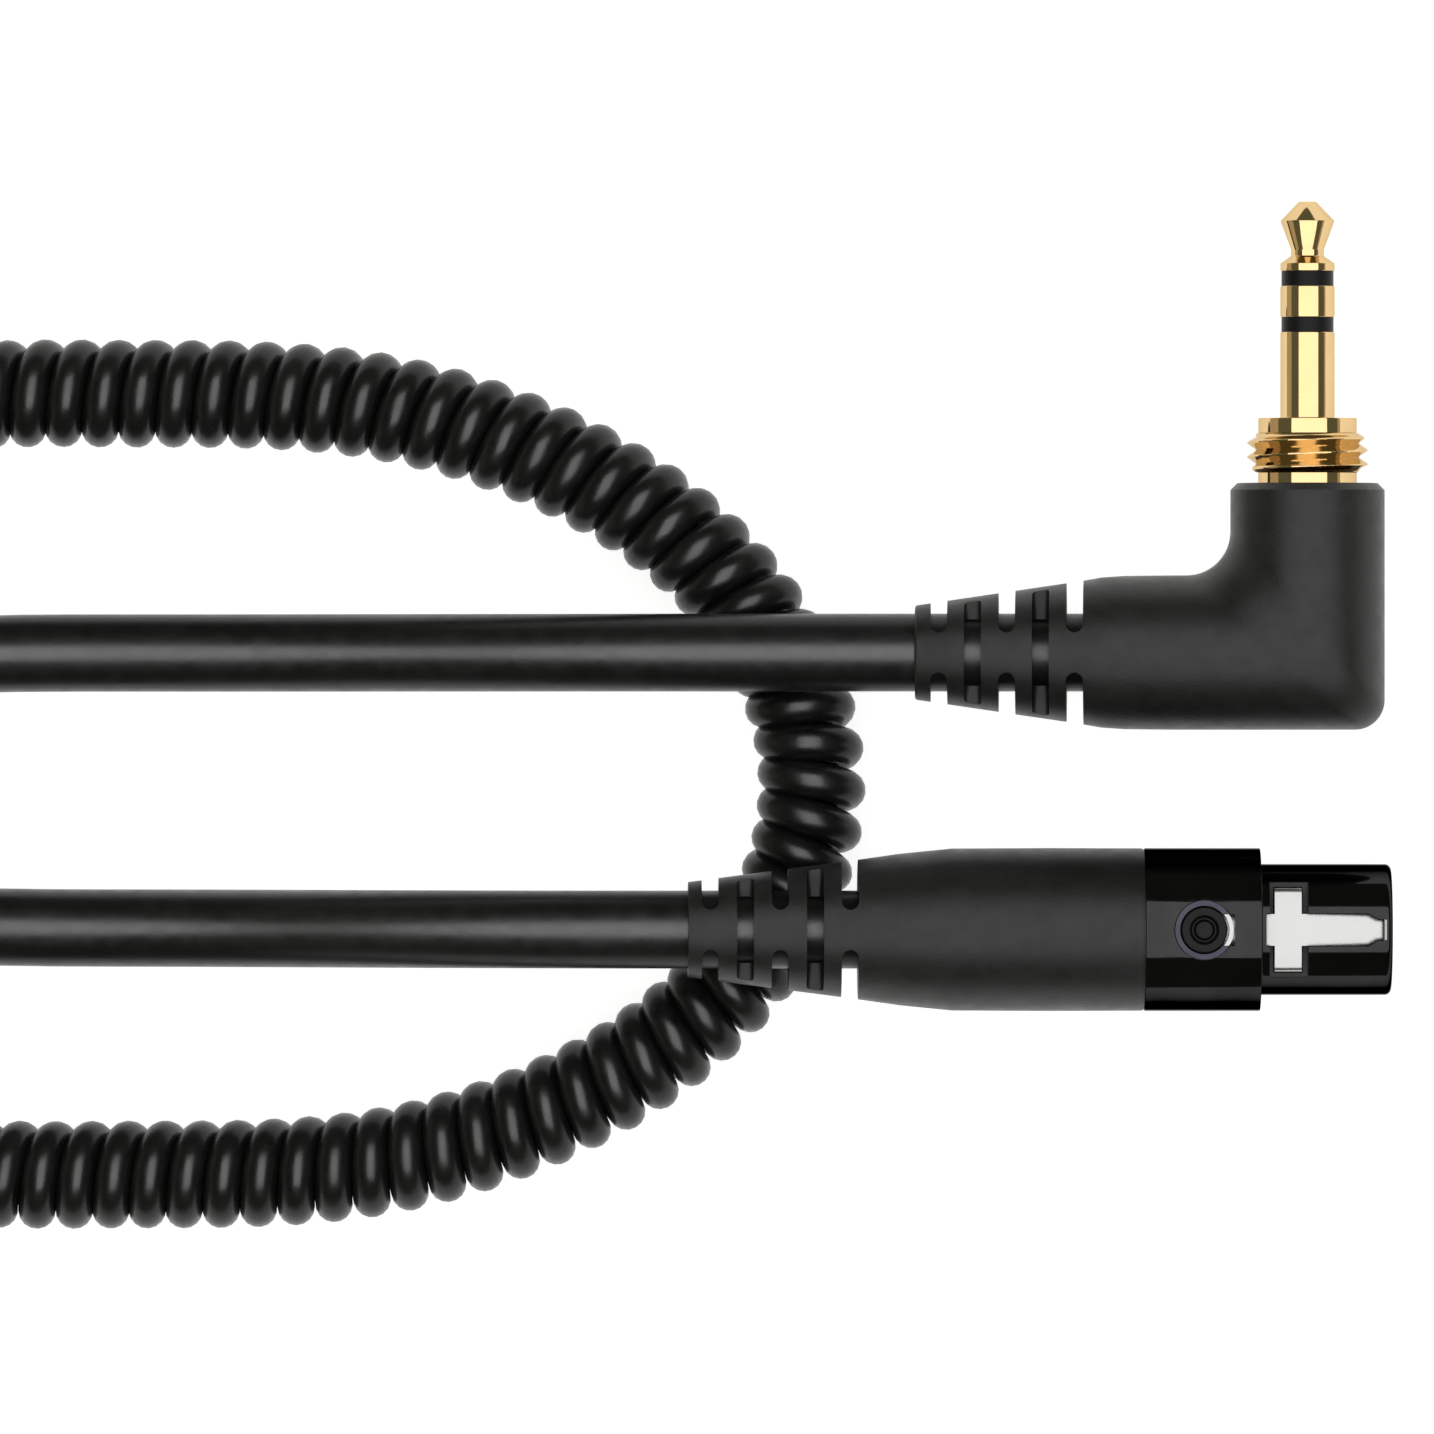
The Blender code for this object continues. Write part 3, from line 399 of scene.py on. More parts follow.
def bake_modifiers(piece, smooth_below=SMOOTH_BELOW):
    """Puts the result of a piece's modifiers into its mesh."""
    shown = piece.evaluated_get(bpy.context.evaluated_depsgraph_get())
    mesh = bpy.data.meshes.new_from_object(shown)
    piece.modifiers.clear()
    piece.data = mesh
    mesh.shade_smooth()
    mesh.set_sharp_from_angle(angle=math.radians(smooth_below))
    mesh.validate()


def cut(piece, shapes):
    """Cuts closed shapes out of a piece, one after another."""
    tools = []
    for number, shape in enumerate(shapes):
        tool = add(f"{piece.name}_tool_{number}", shape, piece.data.materials[0], piece.matrix_world)
        modifier = piece.modifiers.new(f"cut_{number}", "BOOLEAN")
        modifier.operation = "DIFFERENCE"
        modifier.solver = "EXACT"
        modifier.object = tool
        tools.append(tool)
    bpy.context.view_layer.update()
    bake_modifiers(piece)
    for tool in tools:
        bpy.data.objects.remove(tool, do_unlink=True)


def skin(rings, closed=False):
    """Points and faces through rings; a ring of one point is an end on the axis."""
    points, starts = [], []
    for ring in rings:
        starts.append(len(points))
        points.extend(ring)
    faces = []
    count = len(rings)
    for i in range(count if closed else count - 1):
        j = (i + 1) % count
        a, b, na, nb = starts[i], starts[j], len(rings[i]), len(rings[j])
        sides = max(na, nb)
        for k in range(sides):
            m = (k + 1) % sides
            if na == 1:
                faces.append((a, b + k, b + m))
            elif nb == 1:
                faces.append((a + k, b, a + m))
            else:
                faces.append((a + k, b + k, b + m, a + m))
    if not closed:
        for first, ring in ((starts[0], rings[0]), (starts[-1], rings[-1])):
            if len(ring) > 1:
                faces.append(tuple(first + k for k in range(len(ring))))
    return points, faces


def circle(radius, sides):
    turns = [2 * math.pi * k / sides for k in range(sides)]
    return [(radius * math.cos(a), radius * math.sin(a)) for a in turns]


def turned(profile, axis, sides=FINE, closed=False, centre=(0.0, 0.0)):
    """A profile of (distance along the axis, radius) turned about X, Y or Z."""
    rings = []
    for along, radius in profile:
        section = circle(radius, sides) if radius > 0 else [(0.0, 0.0)]
        ring = []
        for u, v in section:
            u, v = u + centre[0], v + centre[1]
            ring.append({"x": (along, u, v), "y": (u, along, v), "z": (u, v, along)}[axis])
        rings.append(ring)
    return skin(rings, closed)


def band(low, high, inner, outer):
    """Profile of a ring of rectangular section."""
    return [(low, inner), (low, outer), (high, outer), (high, inner)]


def soften(profile, radius, closed=True, steps=4):
    """The same profile with its corners rounded."""
    knots = [Vector(p) for p in profile]
    count = len(knots)
    out = []
    for i, knot in enumerate(knots):
        before, after = knots[i - 1], knots[(i + 1) % count]
        end = not closed and i in (0, count - 1)
        into, away = knot - before, after - knot
        if end or min(into.length, away.length) < NO_LENGTH or into.angle(away) < FLAT_TURN:
            out.append(tuple(knot))
            continue
        turn = into.angle(away)
        reach = min(radius * math.tan(turn / 2), EDGE_SHARE * into.length, EDGE_SHARE * away.length)
        start, stop = knot - into.normalized() * reach, knot + away.normalized() * reach
        for step in range(steps + 1):
            t = step / steps
            point = start * (1 - t) ** 2 + knot * 2 * t * (1 - t) + stop * t ** 2
            out.append(tuple(point))
    return out


def prism(outline, low, high):
    """A solid with a top-view outline, from one height to another."""
    return skin([[(x, y, low) for x, y in outline], [(x, y, high) for x, y in outline]])


def box(low, high):
    outline = [(low[0], low[1]), (high[0], low[1]), (high[0], high[1]), (low[0], high[1])]
    return prism(outline, low[2], high[2])


def spline_points(route, step):
    """Evenly spaced points on the natural cubic spline through a route."""
    knots = np.array(route, dtype=float)
    t = np.concatenate(([0.0], np.cumsum(np.linalg.norm(np.diff(knots, axis=0), axis=1))))
    h = np.diff(t)
    count = len(t)
    system = np.eye(count)
    slopes = np.zeros_like(knots)
    for i in range(1, count - 1):
        system[i, i - 1:i + 2] = h[i - 1], 2 * (h[i - 1] + h[i]), h[i]
        slopes[i] = 6 * ((knots[i + 1] - knots[i]) / h[i] - (knots[i] - knots[i - 1]) / h[i - 1])
    bend = np.linalg.solve(system, slopes)
    dense = []
    for i in range(count - 1):
        for s in np.linspace(0.0, h[i], SPLINE_STEPS, endpoint=False):
            left, right = h[i] - s, s
            dense.append(
                (bend[i] * left ** 3 + bend[i + 1] * right ** 3) / (6 * h[i])
                + (knots[i] / h[i] - bend[i] * h[i] / 6) * left
                + (knots[i + 1] / h[i] - bend[i + 1] * h[i] / 6) * right
            )
    dense.append(knots[-1])
    dense = np.array(dense)
    run = np.concatenate(([0.0], np.cumsum(np.linalg.norm(np.diff(dense, axis=0), axis=1))))
    pieces = max(2, round(run[-1] / step))
    wanted = np.linspace(0.0, run[-1], pieces + 1)
    return np.stack([np.interp(wanted, run, dense[:, k]) for k in range(3)], axis=1)


def length_of(points):
    return float(np.linalg.norm(np.diff(points, axis=0), axis=1).sum())


def tube(name, points, radius, resolution, finish):
    """A round cord along a list of points, as a curve with filled ends."""
    data = bpy.data.curves.new(name, "CURVE")
    data.dimensions = "3D"
    data.bevel_depth = radius * MM
    data.bevel_resolution = resolution
    data.use_fill_caps = True
    spline = data.splines.new("POLY")
    spline.points.add(len(points) - 1)
    knots = np.ones((len(points), 4))
    knots[:, :3] = np.asarray(points) * MM
    spline.points.foreach_set("co", knots.ravel())
    spline.use_smooth = True
    data.materials.append(finish)
    piece = bpy.data.objects.new(name, data)
    bpy.context.collection.objects.link(piece)
    return piece


# ---- materials

class Nodes:
    """A new material's node tree, with its main shader and short ways to add nodes."""

    def __init__(self, name):
        self.material = bpy.data.materials.new(name)
        self.material.use_nodes = True
        self.tree = self.material.node_tree
        self.shader = self.tree.nodes["Principled BSDF"]
        self.place = self.add("ShaderNodeTexCoord").outputs["Object"]

    def add(self, kind, **settings):
        node = self.tree.nodes.new(kind)
        for key, value in settings.items():
            setattr(node, key, value)
        return node

    def link(self, source, target):
        self.tree.links.new(source, target)

    def constants(self, **values):
        for name, value in values.items():
            self.shader.inputs[name.replace("_", " ")].default_value = value

    def stretched(self, scale):
        mapping = self.add("ShaderNodeMapping")
        mapping.inputs["Scale"].default_value = scale
        self.link(self.place, mapping.inputs["Vector"])
        return mapping.outputs["Vector"]

    def noise(self, size_mm, detail, along=None):
        """Noise whose features are about size_mm across."""
        node = self.add("ShaderNodeTexNoise")
        node.inputs["Scale"].default_value = 1.0 / (size_mm * MM)
        node.inputs["Detail"].default_value = detail
        self.link(along or self.place, node.inputs["Vector"])
        return node.outputs["Fac"]

    def remap(self, value, low, high):
        node = self.add("ShaderNodeMapRange")
        node.inputs["From Min"].default_value = NOISE_SPAN[0]
        node.inputs["From Max"].default_value = NOISE_SPAN[1]
        node.inputs["To Min"].default_value = low
        node.inputs["To Max"].default_value = high
        self.link(value, node.inputs["Value"])
        return node.outputs["Result"]

    def math(self, operation, first, second):
        node = self.add("ShaderNodeMath", operation=operation)
        for socket, value in zip(node.inputs, (first, second)):
            if isinstance(value, (int, float)):
                socket.default_value = value
            else:
                self.link(value, socket)
        return node.outputs["Value"]

    def ramp(self, value, stops):
        node = self.add("ShaderNodeValToRGB")
        for element, (position, colour) in zip(node.color_ramp.elements, stops):
            element.position = position
            element.color = (*colour, 1.0)
        self.link(value, node.inputs["Fac"])
        return node.outputs["Color"]

    def bump(self, height, depth_mm):
        node = self.add("ShaderNodeBump")
        node.inputs["Strength"].default_value = 1.0
        node.inputs["Distance"].default_value = depth_mm * MM
        self.link(height, node.inputs["Height"])
        return node.outputs["Normal"]

    def finish(self, colour=None, roughness=None, normal=None):
        for name, source in (("Base Color", colour), ("Roughness", roughness), ("Normal", normal)):
            if source is not None:
                self.link(source, self.shader.inputs[name])
        return self.material


def grey(tone):
    return (tone, tone, tone)


def shade(colour, factor):
    return tuple(min(1.0, c * factor) for c in colour)


def moulded(name, colour, roughness, specular=0.5, grain_mm=0.16, grain_depth=0.012):
    """Moulded or extruded plastic: fine grain, faint flow clouds and a roughness that varies."""
    nodes = Nodes(name)
    cloud = nodes.noise(2.6, 4.0)
    grain = nodes.noise(grain_mm, 2.0)
    tones = [shade(colour, 1 - CLOUD_SPREAD), shade(colour, 1 + CLOUD_SPREAD)]
    colour = nodes.ramp(cloud, zip(NOISE_SPAN, tones))
    rough = nodes.remap(nodes.noise(1.1, 3.0), roughness - 0.05, roughness + 0.05)
    nodes.constants(Specular_IOR_Level=specular)
    return nodes.finish(colour, rough, nodes.bump(grain, grain_depth))


def plated(name, colour, roughness, spread, wear_mm, edge, bump_mm=0.0016):
    """Plated or polished metal, with a cloudy tone, a slight waviness and a gloss that varies."""
    nodes = Nodes(name)
    cloud = nodes.noise(wear_mm, 4.0)
    colour = nodes.ramp(cloud, [(0.32, shade(colour, 1 - spread)), (0.68, shade(colour, 1 + spread))])
    rough = nodes.remap(nodes.noise(0.5, 4.0), roughness * 0.75, roughness * 1.3)
    nodes.constants(Metallic=1.0)
    nodes.shader.inputs["Specular Tint"].default_value = (*edge, 1.0)
    return nodes.finish(colour, rough, nodes.bump(nodes.noise(0.7, 3.0), bump_mm))


def make_finishes():
    return {
        "moulding": moulded("matt_moulding", grey(0.011), 0.43, 0.36),
        "jacket": moulded("satin_jacket", grey(0.009), 0.34, 0.25, 0.22, 0.006),
        "curly": moulded("curly_jacket", grey(0.010), 0.30, 0.25, 0.2, 0.005),
        "insulator": moulded("black_insulator", grey(0.007), 0.42, 0.15, 0.12, 0.003),
        "button": moulded("button_nylon", grey(0.008), 0.40, 0.15, 0.1, 0.003),
        "trim": moulded("black_trim", grey(0.020), 0.35, 0.3, 0.12, 0.003),
        "gold": plated("gold_plate", (0.70, 0.49, 0.25), 0.05, 0.03, 1.2, (0.75, 0.7, 0.6), 0.0005),
        "shell": plated("black_plate", (0.029, 0.029, 0.030), 0.07, 0.12, 3.0, grey(0.22)),
        # ring round the button: a lighter, violet-grey copy of the black plate, its colour a painted
        # highlight of the countersink
        "surround": plated("painted_highlight_ring", (0.048, 0.045, 0.062), 0.25, 0.1, 1.0, grey(0.5)),
        "brass": plated("tinned_brass", (0.70, 0.66, 0.55), 0.3, 0.1, 0.6, grey(1.0)),
        "red_wire": moulded("red_wire_cover", (0.45, 0.03, 0.02), 0.45),
        "white_wire": moulded("white_wire_cover", (0.7, 0.7, 0.66), 0.45),
        "copper_wire": moulded("lacquered_copper", (0.6, 0.28, 0.1), 0.4),
        "steel": brushed_steel(),
        "tie": woven_strap(),
    }


def brushed_steel():
    nodes = Nodes("brushed_spring_steel")
    lines = nodes.noise(0.12, 2.0, nodes.stretched((0.05, 1.0, 1.0)))
    colour = nodes.ramp(lines, zip(NOISE_SPAN, [grey(0.405), grey(0.425)]))
    rough = nodes.remap(lines, 0.25, 0.31)
    nodes.constants(Metallic=1.0)
    return nodes.finish(colour, rough, nodes.bump(lines, 0.0002))


def woven_strap():
    """Hook-and-loop strap: a fine weave with a fuzz of loops over it."""
    nodes = Nodes("hook_and_loop_strap")
    along = nodes.add("ShaderNodeTexWave", wave_type="BANDS", bands_direction="X")
    across = nodes.add("ShaderNodeTexWave", wave_type="BANDS", bands_direction="DIAGONAL")
    for wave, size in ((along, 0.42), (across, 0.55)):
        wave.inputs["Scale"].default_value = WAVE_PERIOD / (size * MM)
        wave.inputs["Distortion"].default_value = 1.2
        nodes.link(nodes.place, wave.inputs["Vector"])
    weave = nodes.math("MULTIPLY", along.outputs["Fac"], across.outputs["Fac"])
    fuzz = nodes.noise(0.12, 5.0)
    height = nodes.math("ADD", weave, nodes.math("MULTIPLY", fuzz, 0.8))
    colour = nodes.ramp(height, [(0.25, (0.008, 0.008, 0.009)), (0.9, (0.055, 0.055, 0.06))])
    nodes.constants(Sheen_Weight=0.35, Sheen_Roughness=0.4)
    return nodes.finish(colour, nodes.remap(fuzz, 0.8, 0.98), nodes.bump(height, 0.16))


# ---- cords

def curly_route():
    """Middle line of the curly cord: ear, strand, loop, strand and ear."""
    x0, y0 = EAR_CENTRE
    half = [(SLEEVE_FACES[0] + CURLY_INSET, SLEEVE_OFFSET, SLEEVE_HEIGHT)]
    for angle in range(-90, -271, -30):
        turn = math.radians(angle)
        half.append((x0 + EAR_RADIUS * math.cos(turn), y0 + EAR_RADIUS * math.sin(turn), FLOOR_Z))
    half += CURLY_STRAND
    loop = []
    for angle in range(75, -76, -15):
        turn = math.radians(angle)
        x = LOOP_CENTRE_X + LOOP_HALF_LENGTH * math.cos(turn)
        loop.append((x, BUNDLE_Y + LOOP_HALF_WIDTH * math.sin(turn), FLOOR_Z))
    first = [(x, BUNDLE_Y + offset, z) for x, offset, z in half]
    last = [(x, BUNDLE_Y - offset, z) for x, offset, z in reversed(half)]
    return first + loop + last


def helix(middle):
    """The wound cord round the middle line."""
    step = np.linalg.norm(np.diff(middle, axis=0), axis=1)
    run = np.concatenate(([0.0], np.cumsum(step)))
    heading = np.gradient(middle, run, axis=0)
    heading /= np.linalg.norm(heading, axis=1, keepdims=True)
    apex = int(np.argmax(middle[:, 0]))
    turns = (run - run[apex] - HELIX_START) / HELIX_PITCH
    wanted = np.arange(math.ceil(turns[0] * TURN_STEPS), turns[-1] * TURN_STEPS) / TURN_STEPS
    along = np.interp(wanted, turns, run)
    at = np.stack([np.interp(along, run, middle[:, k]) for k in range(3)], axis=1)
    ahead = np.stack([np.interp(along, run, heading[:, k]) for k in range(3)], axis=1)
    ahead /= np.linalg.norm(ahead, axis=1, keepdims=True)
    side = np.stack([-ahead[:, 1], ahead[:, 0], np.zeros(len(ahead))], axis=1)
    side /= np.linalg.norm(side, axis=1, keepdims=True)
    above = np.cross(ahead, side)
    from_end = np.clip(np.minimum(along, run[-1] - along) / HELIX_TAPER, 0.0, 1.0)
    radius = HELIX_RADIUS * from_end * from_end * (3 - 2 * from_end)
    angle = 2 * math.pi * wanted
    outward = side * (radius * np.cos(angle))[:, None]
    return at + outward - above * (radius * np.sin(angle))[:, None]


def make_cords(finishes):
    sleeves = {}
    far, near = SLEEVE_FACES
    bore = WIRE_RADIUS + SLEEVE_PLAY
    profile = [(far, bore), (far, SLEEVE_FAR_RADII[0]), (far + SLEEVE_TAPER, SLEEVE_FAR_RADII[1])]
    for flute in range(FLUTE_COUNT):
        start = far + FLUTE_START + FLUTE_PITCH * flute
        profile += [(start + along, radius) for along, radius in FLUTE_SECTION]
    profile += [(near - SLEEVE_TAPER, SLEEVE_RADIUS), (near, SLEEVE_NEAR_RADIUS), (near, LEAD_BORE)]
    profile += [(near - SLEEVE_BORE_DEPTH, LEAD_BORE), (near - SLEEVE_BORE_DEPTH, bore)]
    for name, side in (("jack", 1), ("xlr", -1)):
        centre = (BUNDLE_Y + side * SLEEVE_OFFSET, SLEEVE_HEIGHT)
        shape = turned(soften(profile, SLEEVE_ROUND), "x", closed=True, centre=centre)
        sleeves[name] = add(f"{name}_transition", shape, finishes["moulding"])
        enter(sleeves[name], "cable", f"{name}_lead_sleeve")

    leads = []
    for name, route in (("jack", JACK_LEAD_ROUTE), ("xlr", XLR_LEAD_ROUTE)):
        points = spline_points(route, length_of(np.array(route)) / LEAD_POINTS)
        lead = tube(f"{name}_lead_cord", points, LEAD_RADIUS, LEAD_BEVEL, finishes["jacket"])
        enter(lead, "cable", f"{name}_lead")
        leads.append(lead)

    wound = helix(spline_points(curly_route(), MIDDLE_STEP))
    curly = tube("curly_cord_helix", wound, WIRE_RADIUS, WIRE_BEVEL, finishes["curly"])
    enter(curly, "cable", "curly_cord")
    tie = make_tie(finishes)
    return leads, curly


def make_tie(finishes):
    """A strap once round the bundle, its end lapped over the top."""

    def rounded(half_width, low, high, corner):
        outline = []
        for cx, cz, start in (
            (half_width - corner, low + corner, -90),
            (half_width - corner, high - corner, 0),
            (corner - half_width, high - corner, 90),
            (corner - half_width, low + corner, 180),
        ):
            for step in range(TIE_CORNER_STEPS + 1):
                turn = math.radians(start + 90 / TIE_CORNER_STEPS * step)
                outline.append((cx + corner * math.cos(turn), cz + corner * math.sin(turn)))
        return outline

    t = TIE_THICKNESS
    inside = rounded(TIE_INNER_HALF, t, TIE_INNER_TOP, TIE_CORNER)
    outside = rounded(TIE_INNER_HALF + t, TIE_UNDERSIDE, TIE_INNER_TOP + t, TIE_CORNER + t)
    x0, x1 = TIE_SPAN
    full0, full1 = x0 + TIE_EDGE, x1 - TIE_EDGE
    rings = []
    for x, blend in ((x0, 0.25), (x0, 0.75), (full0, 1.0), (full1, 1.0), (x1, 0.75), (x1, 0.25)):
        ring = []
        for (ya, za), (yb, zb) in zip(inside, outside):
            ring.append((x, BUNDLE_Y + ya + (yb - ya) * blend, za + (zb - za) * blend))
        rings.append(ring)
    for x in (full1, full0):
        rings.append([(x, BUNDLE_Y + y, z) for y, z in inside])
    loop = add("strap_band", skin(rings, closed=True), finishes["tie"])

    top = TIE_INNER_TOP + t
    middle = 0.5 * (x0 + x1)
    narrow_from, narrow_rate = LAP_NARROWING
    lap = []
    for y, low, high in LAP_STATIONS:
        half = LAP_HALF - max(0.0, y - narrow_from) ** 2 * narrow_rate
        side = LAP_SHOULDER * high
        section = []
        for x, z in (
            (-half, low),
            (half, low),
            (half, side),
            (half - LAP_BEVEL, high),
            (LAP_BEVEL - half, high),
            (-half, side),
        ):
            section.append((middle + x, BUNDLE_Y + y, top + z))
        lap.append(section)
    flap = add("strap_lap", skin(lap), finishes["tie"])
    for piece in (loop, flap):
        enter(piece, "cable", "cable_tie")
    return loop, flap


# ---- jack plug

def slot_cutters(centres):
    """Cutters of a strain relief: side slots with round inner ends, and front grooves, by turns."""
    half = SLOT_WIDTH / 2
    round_end = [math.radians(a) for a in range(-90, 91, 15)]
    side_group, front_group = [], []
    for number, x in enumerate(centres):
        for side in (-1, 1):
            if number % 2 == 0:
                outline = [(x - half, side * CUT_REACH)]
                for turn in round_end:
                    inner = WEB_HALF + half - half * math.cos(turn)
                    outline.append((x + half * math.sin(turn), side * inner))
                outline.append((x + half, side * CUT_REACH))
                side_group.append(prism(outline, -CUT_REACH, CUT_REACH))
            else:
                floor = GROOVE_FLOOR + GROOVE_CORNER
                left = x - half + GROOVE_CORNER
                right = x + half - GROOVE_CORNER
                section = [(x - half, side * CUT_REACH)]
                for middle, turns in ((left, (180, 210, 240, 270)), (right, (270, 300, 330, 360))):
                    for turn in turns:
                        angle = math.radians(turn)
                        depth = floor + GROOVE_CORNER * math.sin(angle)
                        section.append((middle + GROOVE_CORNER * math.cos(angle), side * depth))
                section.append((x + half, side * CUT_REACH))
                rings = [[(u, y, v) for u, v in section] for y in (-CUT_REACH, CUT_REACH)]
                front_group.append(skin(rings))
    return [joined(side_group), joined(front_group)]


def joined(shapes):
    points, faces = [], []
    for shape_points, shape_faces in shapes:
        first = len(points)
        points.extend(shape_points)
        faces.extend(tuple(first + i for i in face) for face in shape_faces)
    return points, faces


def jack_moulding():
    """The right-angled moulding: rings along its outside, then down into the collar's mouth."""

    def across(x, radius):
        return [(x, -radius * c, radius * s) for c, s in circle(1.0, FINE)]

    def upright(y, radius):
        return [(radius * c, y, radius * s) for c, s in circle(1.0, FINE)]

    def corner(radius, outer, inner, turn):
        ring = []
        for c, s in circle(1.0, FINE):
            fillet = inner + (outer - inner) * (1 + c) / 2
            x = radius * c - fillet + fillet * math.sin(turn)
            y = -radius * c + fillet - fillet * math.cos(turn)
            ring.append((x, y, radius * s))
        return ring

    outside = [(JACK_RELIEF_END, LEAD_BORE), (JACK_RELIEF_END, JACK_RELIEF_RADIUS), *JACK_TAPER]
    turns = [math.radians(a) for a in np.linspace(0, 90, ELBOW_RINGS)]
    rings = [across(x, r) for x, r in soften(outside, TAPER_ROUND, closed=False)]
    rings += [corner(BODY_RADIUS, OUTER_FILLET, INNER_FILLET, a) for a in turns]
    mouth = COLLAR_RADIUS + MOUTH_PLAY
    mouth_floor = SHOULDER - MOUTH_DEPTH
    top = [
        (SHOULDER - SHOULDER_CHAMFER, BODY_RADIUS),
        (SHOULDER, BODY_RADIUS - SHOULDER_CHAMFER),
        (SHOULDER, mouth),
        (mouth_floor, mouth),
    ]
    rings += [upright(y, r) for y, r in soften(top, SHOULDER_ROUND, closed=False)]
    rings += [upright(mouth_floor, MOUTH_CENTRE), [(0.0, mouth_floor, 0.0)]]
    return skin(rings)


def threaded_collar():
    """The gold collar with its thread, and the first part of the jack."""

    def ring(along, radius):
        return [(u, SHOULDER + along, v) for u, v in circle(radius, FINE)]

    low, high = THREAD_SPAN
    base = [(COLLAR_FOOT, CONTACT_BORE), (COLLAR_FOOT, COLLAR_RADIUS), (low - THREAD_MARGIN, COLLAR_RADIUS)]
    rings = [ring(a, r) for a, r in base]
    for i in range(THREAD_STATIONS + 1):
        along = low + (high - low) * i / THREAD_STATIONS
        rise = (along - low) / THREAD_ENTRY[0] + THREAD_ENTRY[1]
        fall = (high - along) / THREAD_EXIT[0] + THREAD_EXIT[1]
        section = []
        for u, v in circle(1.0, FINE):
            turn = (math.pi - math.atan2(v, u)) / (2 * math.pi)
            phase = ((along - THREAD_START) / THREAD_PITCH - turn) % 1.0
            ridge = min(1.0, THREAD_FLANK * abs(2 * phase - 1))
            radius = THREAD_ROOT + (THREAD_CREST - THREAD_ROOT) * ridge * min(1.0, rise, fall)
            section.append((u * radius, SHOULDER + along, v * radius))
        rings.append(section)
    top = [
        (high + THREAD_MARGIN, COLLAR_RADIUS),
        (COLLAR_LENGTH, COLLAR_RADIUS),
        (COLLAR_LENGTH, JACK_RADIUS),
        (SLEEVE_TIP, JACK_RADIUS),
        (SLEEVE_TIP, CONTACT_BORE),
    ]
    rings += [ring(a, r) for a, r in soften(top, CONTACT_ROUND, closed=False)]
    return skin(rings, closed=True)


def make_jack(finishes):
    moulding = add("jack_moulding", jack_moulding(), finishes["moulding"], JACK)
    bore = turned([(x, LEAD_BORE) for x in JACK_BORE_SPAN], "x")
    cut(moulding, [bore] + slot_cutters(JACK_SLOTS))

    gold = finishes["gold"]
    sleeve = add("jack_sleeve_gold", threaded_collar(), gold, JACK, KEEN_BELOW)

    low, high = RING_SPAN
    section = soften(band(low, high, CONTACT_BORE, JACK_RADIUS), RING_ROUND)
    section = [(SHOULDER + a, r) for a, r in section]
    ring_gold = add("jack_ring_gold", turned(section, "y", closed=True), gold, JACK)
    tip = [(SHOULDER + a, r) for a, r in soften(TIP_PROFILE, CONTACT_ROUND, closed=False)]
    tip_gold = add("jack_tip_gold", turned(tip, "y"), gold, JACK, KEEN_BELOW)

    insulators = {"jack_ring_insulator": (SLEEVE_TIP, low), "jack_tip_insulator": (high, TIP_START)}
    for node, (start, end) in insulators.items():
        outline = [(SHOULDER + a, r) for a, r in band(start, end, INSULATOR_BORE, INSULATOR_RADIUS)]
        washer = add(f"{node}_band", turned(outline, "y", closed=True), finishes["insulator"], JACK)
        enter(washer, "cable", node)

    enter(moulding, "cable", "jack_boot")
    enter(sleeve, "cable", "jack_sleeve_contact")
    enter(ring_gold, "cable", "jack_ring_contact")
    enter(tip_gold, "cable", "jack_tip_contact")


# ---- mini-XLR

def arm_outline(margin):
    """Top view of the latch's strip and tongue with a margin round it."""
    half = [
        (OPENING_ENDS[0], TONGUE_HALF + margin),
        (TONGUE_BACK, TONGUE_HALF + margin),
        (STRIP_FRONT, LEAF_HALF + margin),
        (OPENING_ENDS[1], LEAF_HALF + margin),
    ]
    return half + [(x, -y) for x, y in reversed(half)]


def bar_outline(front, back, half):
    return [(-front, half), (-back, half), (-back, -half), (-front, -half)]


